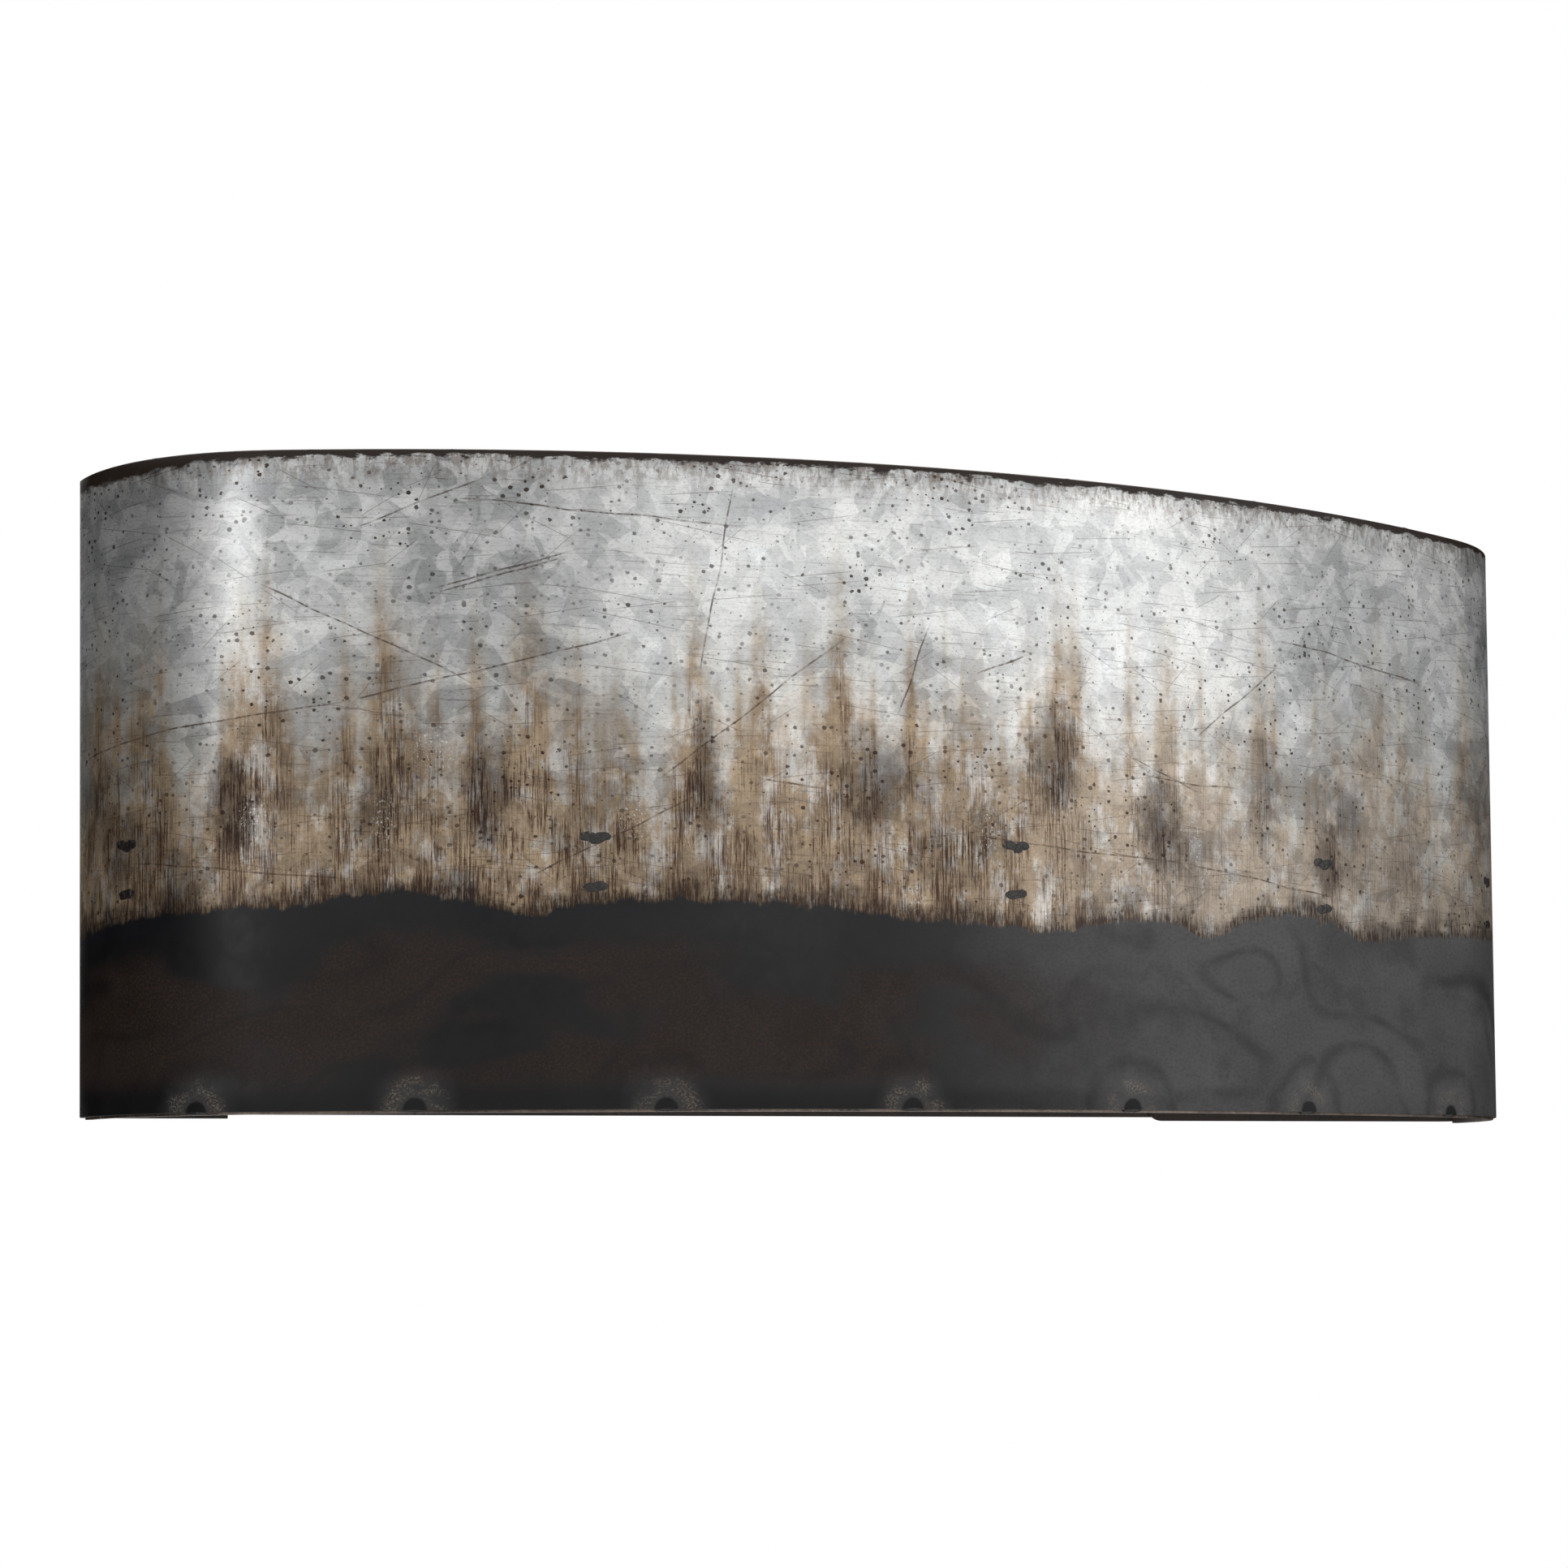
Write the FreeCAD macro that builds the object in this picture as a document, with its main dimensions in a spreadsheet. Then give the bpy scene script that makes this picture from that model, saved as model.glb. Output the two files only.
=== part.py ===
import FreeCAD, Part
import math
import os
import re
from types import SimpleNamespace

import Sketcher

# Two-lamp wall light with a half-oval shade of galvanised sheet.
# Millimetres, +Z up.  The wall is the plane y = 0 and the light faces -Y.  The origin is the middle
# of the crossbar's back face, which is also the middle of the shade's height and width.

V = FreeCAD.Vector
doc = FreeCAD.newDocument("wall_light")
sizes = doc.addObject("Spreadsheet::Sheet", "sizes")

ORIGIN = (-1, 1)
H_AXIS = -1
V_AXIS = -2
X_DIR, Y_DIR, Z_DIR = V(1, 0, 0), V(0, 1, 0), V(0, 0, 1)
SIDES = {"left": -1, "right": 1}

DRIVING = {
    # the half-oval shade
    "shade_width": 388, "shade_height": 152, "shade_depth": 95,
    "end_radius": 56, "corner_radius": 4, "side_straight": 1.6, "sheet_wall": 0.8,
    "left_return": 37, "right_return": 97, "return_corner": 5,
    "seat_gap": 0.05,
    # flat straps inside both cut edges
    "strap_width": 12, "strap_wall": 1.6, "strap_drop": 0.55, "strap_rise": 0.3,
    # tack welds in the step between strap and sheet
    "tack_length": 5.6, "tack_depth": 0.45,
    # ledge clips and their spot welds
    "clip_width": 12, "clip_height": 24, "clip_reach": 11, "clip_wall": 1, "clip_base": 44,
    "nugget_radius": 1.5, "nugget_wall": 0.3, "lower_weld": 51, "upper_weld": 62.5,
    # frosted panel on the clips
    "panel_wall": 3, "panel_clear": 0.7, "notch_clear": 2,
    # back plate and wiring pan
    "plate_width": 360, "plate_wall": 1.2, "plate_lift": 1,
    "opening_width": 118, "opening_height": 56,
    "pan_width": 130, "pan_height": 68, "pan_depth": 22, "pan_wall": 1, "pan_rise": 14,
    "ear_reach": 12, "rivet_radius": 1.6, "rivet_head": 3, "rivet_crown": 1.2, "rivet_pitch": 44,
    # crossbar, studs and nuts
    "bar_length": 112, "bar_width": 22, "bar_wall": 1.6,
    "slot_pitch": 88.9, "slot_length": 11, "slot_radius": 2.4,
    "stud_radius": 2, "stud_pitch": 70, "stud_spare": 1, "thread_clear": 0.05,
    "lock_nut_radius": 4, "lock_nut_wall": 3.2, "pan_hole_radius": 2.6,
    "cap_nut_radius": 6, "cap_nut_skirt": 7, "cap_nut_dome": 4,
    "ground_place": 17, "ground_head": 4, "ground_head_wall": 2.4, "ground_radius": 1.9,
    # lampholders on their bracket
    "lamp_rise": 24, "bracket_width": 20, "bracket_wall": 1.5, "bracket_screw_pitch": 26,
    "screw_radius": 1.5, "screw_head": 2.8, "screw_crown": 1.4,
    "holder_clear": 2, "holder_length": 38, "holder_wall": 2.2, "holder_floor": 4,
    "holder_screw_pitch": 17, "lead_hole": 3,
    "shell_clear": 0.5, "shell_wall": 0.7, "shell_start": 8, "shell_length": 28,
    "spring_radius": 4, "spring_height": 3.5,
    # lamps
    "lamp_length": 105, "bulb_radius": 30, "glass_wall": 0.9, "neck_clear": 0.4,
    "neck_end": 38, "cap_radius": 13.2, "cap_clear": 0.4, "cap_wall": 0.5, "cap_length": 24,
    "tip_radius": 4.5, "tip_wall": 1, "insulator_height": 2.6,
    # bushing, leads and wire connectors
    "bushing_radius": 4.9, "bushing_flange": 7, "bushing_flange_wall": 1, "bushing_bore": 3,
    "lead_radius": 1.1, "lead_spacing": 2.6, "lead_bend": 6,
    "connector_radius": 4.2, "connector_tip": 2.6, "connector_length": 15, "connector_place": 12,
    "wire_clear": 4.8,
}

# places round the sheet's outer face from the middle of the front, as shares of the way to the sides
CLIP_PLACES = (-0.9, -0.41, 0.04, 0.46, 0.8)
BOTTOM_TACKS = (-0.81, -0.59, -0.34, -0.08, 0.18, 0.43, 0.69, 0.94)
TOP_TACKS = (-0.86, -0.69, -0.55, -0.35, -0.13, 0.11, 0.36, 0.62, 0.87)

for row, (alias, number) in enumerate(DRIVING.items(), start=1):
    sizes.set(f"A{row}", alias)
    sizes.set(f"B{row}", str(number))
    sizes.setAlias(f"B{row}", alias)
doc.recompute()


mm = SimpleNamespace(**{alias: float(sizes.get(alias)) for alias in DRIVING})
nodes = []


# ---------------------------------------------------------------- helpers


def on_sheet(text):
    """A formula of aliases, written for setExpression."""
    return re.sub(r"[a-z_]+", lambda word: ("sizes." if word[0] in DRIVING else "") + word[0], text)


def bind(thing, **formulas):
    for prop, text in formulas.items():
        thing.setExpression(prop, on_sheet(text))
    return thing


def add(kind, name, at=None, turn=None, **formulas):
    """A document object with its sizes bound to the sheet and its place set."""
    thing = bind(doc.addObject(kind, name), **formulas)
    thing.Placement = FreeCAD.Placement(at or V(), turn or FreeCAD.Rotation())
    return thing


def box(name, length, depth, height, at):
    return add("Part::Box", name, at, Length=length, Width=depth, Height=height)


def rod(name, radius, length, at, along=Z_DIR):
    """A cylinder that starts at a point and runs along a direction."""
    turn = FreeCAD.Rotation(Z_DIR, along)
    return add("Part::Cylinder", name, at, turn, Radius=radius, Height=length)


def cone(name, radius, far_radius, length, at, along=Z_DIR):
    turn = FreeCAD.Rotation(Z_DIR, along)
    return add("Part::Cone", name, at, turn, Radius1=radius, Radius2=far_radius, Height=length)


def ball(name, radius, at):
    return add("Part::Sphere", name, at, Radius=radius)


def dome(name, radius, height, at, along):
    """The half of an ellipsoid that stands on a point and points along a direction."""
    turn = FreeCAD.Rotation(Z_DIR, along)
    thing = add("Part::Ellipsoid", name, at, turn, Radius1=height, Radius2=radius, Radius3=radius)
    thing.Angle1 = 0
    return thing


def cut(name, base, tool):
    thing = doc.addObject("Part::Cut", name)
    thing.Base, thing.Tool = base, tool
    return thing


def fuse(name, *shapes):
    thing = doc.addObject("Part::MultiFuse", name)
    thing.Shapes = list(shapes)
    return thing


def group(name, shapes):
    """Separate solids that share one node."""
    thing = doc.addObject("Part::Compound", name)
    thing.Links = list(shapes)
    return thing


def keep(label, thing):
    """Hand a finished sub-part in under its own label."""
    thing.Label = label
    nodes.append(thing)
    return thing


# ---------------------------------------------------------------- plan of the shade

SIDE_DEPTH = "(plate_wall + corner_radius + side_straight)"
FRONT_RUN = f"(shade_depth - {SIDE_DEPTH})"
FRONT_RADIUS = (f"(((shade_width / 2 - end_radius)^2 / ({FRONT_RUN} - end_radius)"
                f" + end_radius + {FRONT_RUN}) / 2)")

half_width = mm.shade_width / 2
half_height = mm.shade_height / 2
side_depth = mm.plate_wall + mm.corner_radius + mm.side_straight
front_run = mm.shade_depth - side_depth
end_reach = half_width - mm.end_radius
front_radius = (end_reach**2 / (front_run - mm.end_radius) + mm.end_radius + front_run) / 2
front_centre = V(0, front_radius - mm.shade_depth, 0)
join_angle = math.atan2(front_radius - front_run, end_reach)
front_half = front_radius * (math.pi / 2 - join_angle)
half_run = front_half + mm.end_radius * join_angle


def arc(centre, radius, start, end):
    return Part.ArcOfCircle(Part.Circle(centre, Z_DIR, radius), start, end)


def plan_curves(kind, inward):
    """Segments of the shade's outer line, anticlockwise from above, with a role for each."""
    a, back, side = half_width - inward, -mm.plate_wall - inward, -side_depth
    bend, end_radius = mm.corner_radius - inward, mm.end_radius - inward
    left_end, right_end = -a + mm.left_return, a - mm.right_return
    pi = math.pi
    ends = [
        ("left_end", arc(V(-end_reach, side, 0), end_radius, pi, pi + join_angle)),
        ("front", arc(front_centre, front_radius - inward, pi + join_angle, 2 * pi - join_angle)),
        ("right_end", arc(V(end_reach, side, 0), end_radius, 2 * pi - join_angle, 2 * pi)),
    ]
    if kind == "strap":
        return ends
    left = [
        ("left_corner", arc(V(-a + bend, back - bend, 0), bend, pi / 2, pi)),
        ("left_side", Part.LineSegment(V(-a, back - bend, 0), V(-a, side, 0))),
    ]
    right = [
        ("right_side", Part.LineSegment(V(a, side, 0), V(a, back - bend, 0))),
        ("right_corner", arc(V(a - bend, back - bend, 0), bend, 0, pi / 2)),
    ]
    if kind == "closed":
        back_line = Part.LineSegment(V(a - bend, back, 0), V(-a + bend, back, 0))
        return left + ends + right + [("back", back_line)]
    left_return = Part.LineSegment(V(left_end, back, 0), V(-a + bend, back, 0))
    right_return = Part.LineSegment(V(a - bend, back, 0), V(right_end, back, 0))
    return [("left_return", left_return)] + left + ends + right + [("right_return", right_return)]


def rule(sketch, formula, *constraint):
    """A constraint whose number follows a formula on the sheet."""
    index = sketch.addConstraint(Sketcher.Constraint(*constraint))
    sketch.setExpression(f"Constraints[{index}]", on_sheet(formula))


def plan_sketch(name, kind, less="0", inward=0.0):
    """The shade's outer line, or one that lies inside it, as a fully constrained sketch.

    less is the formula for how far inside it lies, and inward is the same as a number.
    """
    sketch = doc.addObject("Sketcher::SketchObject", name)
    curves = plan_curves(kind, inward)
    place = {role: sketch.addGeometry(curve, False) for role, curve in curves}
    order = [place[role] for role, _ in curves]
    joints = list(zip(order, order[1:])) + ([(order[-1], order[0])] if kind == "closed" else [])
    for one, following in joints:
        sketch.addConstraint(Sketcher.Constraint("Tangent", one, 2, following, 1))
    start, end, centre = 1, 2, 3
    for role in ("left_end", "right_end"):
        rule(sketch, f"end_radius - ({less})", "Radius", place[role], mm.end_radius - inward)
        rule(sketch, SIDE_DEPTH, "DistanceY", place[role], centre, *ORIGIN, side_depth)
    rule(sketch, f"{FRONT_RADIUS} - ({less})", "Radius", place["front"], front_radius - inward)
    reach = f"shade_width / 2 - ({less})"
    rule(sketch, reach, "DistanceX", place["left_end"], start, *ORIGIN, half_width - inward)
    rule(sketch, reach, "DistanceX", *ORIGIN, place["right_end"], end, half_width - inward)
    if kind == "strap":
        for role, tip in (("left_end", start), ("right_end", end)):
            level = Sketcher.Constraint("Horizontal", place[role], tip, place[role], centre)
            sketch.addConstraint(level)
        return sketch
    for role in ("left_side", "right_side"):
        sketch.addConstraint(Sketcher.Constraint("Vertical", place[role]))
    for role in ("left_corner", "right_corner"):
        rule(sketch, f"corner_radius - ({less})", "Radius", place[role], mm.corner_radius - inward)
    flats = {role: place[role] for role in place if role in ("back", "left_return", "right_return")}
    for flat in flats.values():
        sketch.addConstraint(Sketcher.Constraint("Horizontal", flat))
        depth = mm.plate_wall + inward
        rule(sketch, f"plate_wall + ({less})", "DistanceY", flat, start, *ORIGIN, depth)
    if kind == "shade":
        left, right = half_width - mm.left_return, half_width - mm.right_return
        left_tip, right_tip = (flats["left_return"], start), (flats["right_return"], end)
        rule(sketch, "shade_width / 2 - left_return", "DistanceX", *left_tip, *ORIGIN, left)
        rule(sketch, "shade_width / 2 - right_return", "DistanceX", *ORIGIN, *right_tip, right)
    return sketch


def inset(name, source, distance, fill):
    """The source's line moved inward; filled, the strip of material between the two."""
    thing = doc.addObject("Part::Offset2D", name)
    thing.Source = source
    thing.Mode = "Skin"
    thing.Join = "Arc"
    thing.Fill = fill
    return bind(thing, Value=f"-({distance})")


def raised(name, face, height, at):
    thing = doc.addObject("Part::Extrusion", name)
    thing.Base = face
    thing.DirMode = "Custom"
    thing.Dir = Z_DIR
    thing.Solid = True
    bind(thing, LengthFwd=height)
    thing.Placement = FreeCAD.Placement(at, FreeCAD.Rotation())
    return thing


def on_sheet_face(place, height=0.0):
    """Point on the shade's outer face, the inward direction and the bend radius at a place."""
    side = math.copysign(1, place)
    length = abs(place) * half_run
    if length <= front_half:
        angle, centre, radius = length / front_radius, front_centre, front_radius
    else:
        angle = math.pi / 2 - join_angle + (length - front_half) / mm.end_radius
        centre, radius = V(side * end_reach, -side_depth, 0), mm.end_radius
    outward = V(side * math.sin(angle), -math.cos(angle), 0)
    return centre + outward * radius + V(0, 0, height), -outward, radius


def facing(inward):
    """Turn with local +Y along the inward direction and local Z upright."""
    return FreeCAD.Rotation(Y_DIR, inward)


# ---------------------------------------------------------------- shade


def build_shade():
    line = plan_sketch("shade_line", "shade")
    strip = inset("shade_strip", line, "sheet_wall", True)
    band = raised("shade_sheet", strip, "shade_height", V(0, 0, -half_height))
    corner = mm.return_corner
    inner_end = half_width - mm.right_return
    block = box("corner_block", "return_corner", "sheet_wall * 3", "return_corner",
                V(inner_end, -mm.plate_wall - mm.sheet_wall * 2, -half_height))
    round_off = rod("corner_round", "return_corner", "sheet_wall * 5",
                    V(inner_end + corner, -mm.plate_wall - mm.sheet_wall * 3, corner - half_height), Y_DIR)
    keep("shade_band", cut("shade_band", band, cut("corner_waste", block, round_off)))


def build_straps():
    line = plan_sketch("strap_line", "strap")
    outer = inset("strap_outer", line, "sheet_wall + seat_gap", False)
    strip = inset("strap_strip", outer, "strap_wall", True)
    top = half_height + mm.strap_rise - mm.strap_width
    bottom = -half_height - mm.strap_drop
    keep("top_rim_strap", raised("top_strap", strip, "strap_width", V(0, 0, top)))
    keep("bottom_rim_strap", raised("bottom_strap", strip, "strap_width", V(0, 0, bottom)))


def tack(name, place, height):
    """A short bead in the step beside the sheet's cut edge, against the strap."""
    point, inward, _ = on_sheet_face(place, height)
    along = facing(inward)
    bead = box(name, "tack_length", "sheet_wall", "tack_depth", V())
    bead.Placement = FreeCAD.Placement(point + along.multVec(V(-mm.tack_length / 2, 0, 0)), along)
    return bead


def build_tacks():
    low = -half_height - mm.tack_depth
    below = [tack(f"bottom_tack_{i}", place, low) for i, place in enumerate(BOTTOM_TACKS)]
    above = [tack(f"top_tack_{i}", place, half_height) for i, place in enumerate(TOP_TACKS)]
    for bead in above:
        bind(bead, Height="strap_rise")
    keep("bottom_tack_welds", group("bottom_tacks", below))
    keep("top_tack_welds", group("top_tacks", above))


def build_clips():
    """L-shaped ledges inside the shade; their two spot welds show outside."""
    nuggets = []
    for number, place in enumerate(CLIP_PLACES, start=1):
        point, inward, radius = on_sheet_face(place, -half_height + mm.clip_base)
        inner_radius = radius - mm.sheet_wall - mm.seat_gap
        half = mm.clip_width / 2
        bow = inner_radius - math.sqrt(inner_radius**2 - half**2)
        along = facing(inward)
        stand_off = mm.sheet_wall + mm.seat_gap + bow
        leg = box(f"clip_leg_{number}", "clip_width", "clip_wall", "clip_height", V())
        ledge = box(f"clip_ledge_{number}", "clip_width", "clip_reach", "clip_wall", V())
        clip = fuse(f"clip_{number}", leg, ledge)
        clip.Placement = FreeCAD.Placement(point + along.multVec(V(-half, stand_off, 0)), along)
        keep(f"ledge_clip_{number}", clip)
        for level in (mm.lower_weld, mm.upper_weld):
            spot, inward, _ = on_sheet_face(place, -half_height + level)
            nuggets.append(rod(f"nugget_{number}_{level}".replace(".", "_"), "nugget_radius", "nugget_wall",
                               spot - inward * mm.nugget_wall, inward))
    keep("clip_spot_welds", group("clip_nuggets", nuggets))


PANEL_INSET = ("sheet_wall + seat_gap + clip_wall + panel_clear"
               " + end_radius - sqrt(end_radius^2 - clip_width^2 / 4)")
panel_inset = (mm.sheet_wall + mm.seat_gap + mm.clip_wall + mm.panel_clear
               + mm.end_radius - math.sqrt(mm.end_radius**2 - mm.clip_width**2 / 4))


def build_panel():
    line = plan_sketch("panel_line", "closed", PANEL_INSET, panel_inset)
    low = -half_height + mm.clip_base + mm.clip_wall
    sheet = raised("panel_sheet", line, "panel_wall", V(0, 0, low))
    half = mm.pan_width / 2 + mm.notch_clear
    notch = box("panel_notch", "pan_width + 2 * notch_clear", "pan_depth + notch_clear", "panel_wall * 3",
                V(-half, -mm.pan_depth - mm.notch_clear, low - mm.panel_wall))
    keep("diffuser_panel", cut("diffuser", sheet, notch))


# ---------------------------------------------------------------- back plate, pan and crossbar

FRONTWARD = FreeCAD.Rotation(X_DIR, 90)


def body(label, at):
    """A body whose sketches lie upright, facing the wall, and whose pads grow towards the front."""
    thing = doc.addObject("PartDesign::Body", label)
    thing.Placement = FreeCAD.Placement(at, FRONTWARD)
    return keep(label, thing)


def sketch_in(owner, name, lift="0", shift="0"):
    """A sketch on the body's own XY plane, raised along Z and shifted along Y by formulas."""
    sketch = owner.newObject("Sketcher::SketchObject", name)
    plane = next(p for p in owner.Origin.OriginFeatures if p.Role == "XY_Plane")
    sketch.AttachmentSupport = [(plane, "")]
    sketch.MapMode = "FlatFace"
    sketch.setExpression("AttachmentOffset.Base.z", on_sheet(lift))
    sketch.setExpression("AttachmentOffset.Base.y", on_sheet(shift))
    return sketch


def rectangle(sketch, width, height, wide, high):
    """A rectangle about the sketch's middle, from two formulas and their present values."""
    x, y = wide / 2, high / 2
    corners = [V(-x, -y, 0), V(x, -y, 0), V(x, y, 0), V(-x, y, 0)]
    lines = [sketch.addGeometry(Part.LineSegment(one, other), False)
             for one, other in zip(corners, corners[1:] + corners[:1])]
    for one, other in zip(lines, lines[1:] + lines[:1]):
        sketch.addConstraint(Sketcher.Constraint("Coincident", one, 2, other, 1))
    for flat, upright in ((0, 1), (2, 3)):
        sketch.addConstraint(Sketcher.Constraint("Horizontal", lines[flat]))
        sketch.addConstraint(Sketcher.Constraint("Vertical", lines[upright]))
    sketch.addConstraint(Sketcher.Constraint("Symmetric", lines[0], 1, lines[2], 1, *ORIGIN))
    rule(sketch, width, "DistanceX", lines[0], 1, lines[0], 2, wide)
    rule(sketch, height, "DistanceY", lines[1], 1, lines[1], 2, high)


def circle(sketch, radius, present_radius, x=("0", 0.0), y=("0", 0.0)):
    """A circle; x and y are each a formula for the distance from the middle and its signed value."""
    hole = sketch.addGeometry(Part.Circle(V(x[1], y[1], 0), Z_DIR, present_radius), False)
    rule(sketch, radius, "Radius", hole, present_radius)
    for kind, axis, (formula, value) in (("DistanceX", V_AXIS, x), ("DistanceY", H_AXIS, y)):
        if value == 0:
            sketch.addConstraint(Sketcher.Constraint("PointOnObject", hole, 3, axis))
        elif value > 0:
            rule(sketch, formula, kind, *ORIGIN, hole, 3, value)
        else:
            rule(sketch, formula, kind, hole, 3, *ORIGIN, -value)


def pad(owner, sketch, length):
    feature = owner.newObject("PartDesign::Pad", sketch.Name + "_pad")
    feature.Profile = sketch
    bind(feature, Length=length)
    return feature


def pocket(owner, sketch, depth):
    """Cuts forward, into the material that stands in front of the sketch."""
    feature = owner.newObject("PartDesign::Pocket", sketch.Name + "_pocket")
    feature.Profile = sketch
    feature.Reversed = True
    bind(feature, Length=depth)
    return feature


def pair(formula, value):
    """A formula with its value on either side of the middle."""
    return [(formula, -value), (formula, value)]


RIVET_PLACE = "(pan_width + ear_reach) / 2"
rivet_place = (mm.pan_width + mm.ear_reach) / 2


def build_back_plate():
    plate = body("back_plate", V())
    high = mm.shade_height - 2 * mm.plate_lift
    outline = sketch_in(plate, "plate_outline")
    rectangle(outline, "plate_width", "shade_height - 2 * plate_lift", mm.plate_width, high)
    pad(plate, outline, "plate_wall")
    opening = sketch_in(plate, "plate_opening", shift="pan_rise")
    rectangle(opening, "opening_width", "opening_height", mm.opening_width, mm.opening_height)
    pocket(plate, opening, "plate_wall")
    holes = sketch_in(plate, "plate_rivet_holes", shift="pan_rise")
    for x in pair(RIVET_PLACE, rivet_place):
        for y in pair("rivet_pitch / 2", mm.rivet_pitch / 2):
            circle(holes, "rivet_radius + thread_clear", mm.rivet_radius + mm.thread_clear, x, y)
    pocket(plate, holes, "plate_wall")


def build_wiring_pan():
    pan = body("wiring_pan", V(0, -mm.plate_wall, mm.pan_rise))
    ears = sketch_in(pan, "pan_ears")
    wide = mm.pan_width + 2 * mm.ear_reach
    rectangle(ears, "pan_width + 2 * ear_reach", "pan_height", wide, mm.pan_height)
    pad(pan, ears, "pan_wall")
    shell = sketch_in(pan, "pan_shell")
    rectangle(shell, "pan_width", "pan_height", mm.pan_width, mm.pan_height)
    pad(pan, shell, "pan_depth - plate_wall")
    hollow = sketch_in(pan, "pan_hollow")
    rectangle(hollow, "pan_width - 2 * pan_wall", "pan_height - 2 * pan_wall",
              mm.pan_width - 2 * mm.pan_wall, mm.pan_height - 2 * mm.pan_wall)
    pocket(pan, hollow, "pan_depth - plate_wall - pan_wall")
    rivets = sketch_in(pan, "pan_rivet_holes")
    for x in pair(RIVET_PLACE, rivet_place):
        for y in pair("rivet_pitch / 2", mm.rivet_pitch / 2):
            circle(rivets, "rivet_radius + thread_clear", mm.rivet_radius + mm.thread_clear, x, y)
    pocket(pan, rivets, "pan_wall")
    studs = sketch_in(pan, "pan_stud_holes")
    for x in pair("stud_pitch / 2", mm.stud_pitch / 2):
        circle(studs, "pan_hole_radius", mm.pan_hole_radius, x, ("pan_rise", -mm.pan_rise))
    pocket(pan, studs, "pan_depth")
    front = sketch_in(pan, "pan_front_holes", shift="lamp_rise - pan_rise")
    circle(front, "bushing_radius + thread_clear", mm.bushing_radius + mm.thread_clear)
    for y in pair("bracket_screw_pitch / 2", mm.bracket_screw_pitch / 2):
        circle(front, "screw_radius + thread_clear", mm.screw_radius + mm.thread_clear, y=y)
    pocket(pan, front, "pan_depth")


def build_pan_rivets():
    """Flush at the wall and domed in front."""
    rivets = []
    for x in (-rivet_place, rivet_place):
        for y in (-mm.rivet_pitch / 2, mm.rivet_pitch / 2):
            foot = V(x, 0, mm.pan_rise + y)
            number = len(rivets)
            face = foot - Y_DIR * (mm.plate_wall + mm.pan_wall)
            shank = rod(f"rivet_shank_{number}", "rivet_radius", "plate_wall + pan_wall", foot, -Y_DIR)
            head = dome(f"rivet_head_{number}", "rivet_head", "rivet_crown", face, -Y_DIR)
            rivets.append(fuse(f"rivet_{number}", shank, head))
    keep("pan_rivets", group("pan_rivet_set", rivets))


def build_crossbar():
    bar = body("crossbar", V())
    outline = sketch_in(bar, "bar_outline")
    rectangle(outline, "bar_length", "bar_width", mm.bar_length, mm.bar_width)
    pad(bar, outline, "bar_wall")
    holes = sketch_in(bar, "bar_holes")
    for x in pair("stud_pitch / 2", mm.stud_pitch / 2):
        circle(holes, "stud_radius + thread_clear", mm.stud_radius + mm.thread_clear, x)
    circle(holes, "ground_radius + thread_clear", mm.ground_radius + mm.thread_clear,
           ("ground_place", mm.ground_place))
    pocket(bar, holes, "bar_wall")
    slots = sketch_in(bar, "bar_slots")
    for sign in (-1, 1):
        slot(slots, sign)
    pocket(bar, slots, "bar_wall")


def slot(sketch, sign):
    """A round-ended slot along the bar, about half the slot pitch from the middle."""
    middle = sign * mm.slot_pitch / 2
    half, radius = mm.slot_length / 2 - mm.slot_radius, mm.slot_radius
    left, right = middle - half, middle + half
    pi = math.pi
    parts = [
        Part.LineSegment(V(left, -radius, 0), V(right, -radius, 0)),
        arc(V(right, 0, 0), radius, -pi / 2, pi / 2),
        Part.LineSegment(V(right, radius, 0), V(left, radius, 0)),
        arc(V(left, 0, 0), radius, pi / 2, 3 * pi / 2),
    ]
    geo = [sketch.addGeometry(part, False) for part in parts]
    for one, other in zip(geo, geo[1:] + geo[:1]):
        sketch.addConstraint(Sketcher.Constraint("Tangent", one, 2, other, 1))
    near, far = (geo[3], geo[1]) if sign > 0 else (geo[1], geo[3])
    rule(sketch, "slot_radius", "Radius", geo[1], radius)
    for tip in (near, far):
        sketch.addConstraint(Sketcher.Constraint("PointOnObject", tip, 3, H_AXIS))
    inner = "slot_pitch / 2 - slot_length / 2 + slot_radius"
    outer = "slot_pitch / 2 + slot_length / 2 - slot_radius"
    tips = ((near, inner, mm.slot_pitch / 2 - half), (far, outer, mm.slot_pitch / 2 + half))
    for tip, formula, value in tips:
        if sign > 0:
            rule(sketch, formula, "DistanceX", *ORIGIN, tip, 3, value)
        else:
            rule(sketch, formula, "DistanceX", tip, 3, *ORIGIN, value)


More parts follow.
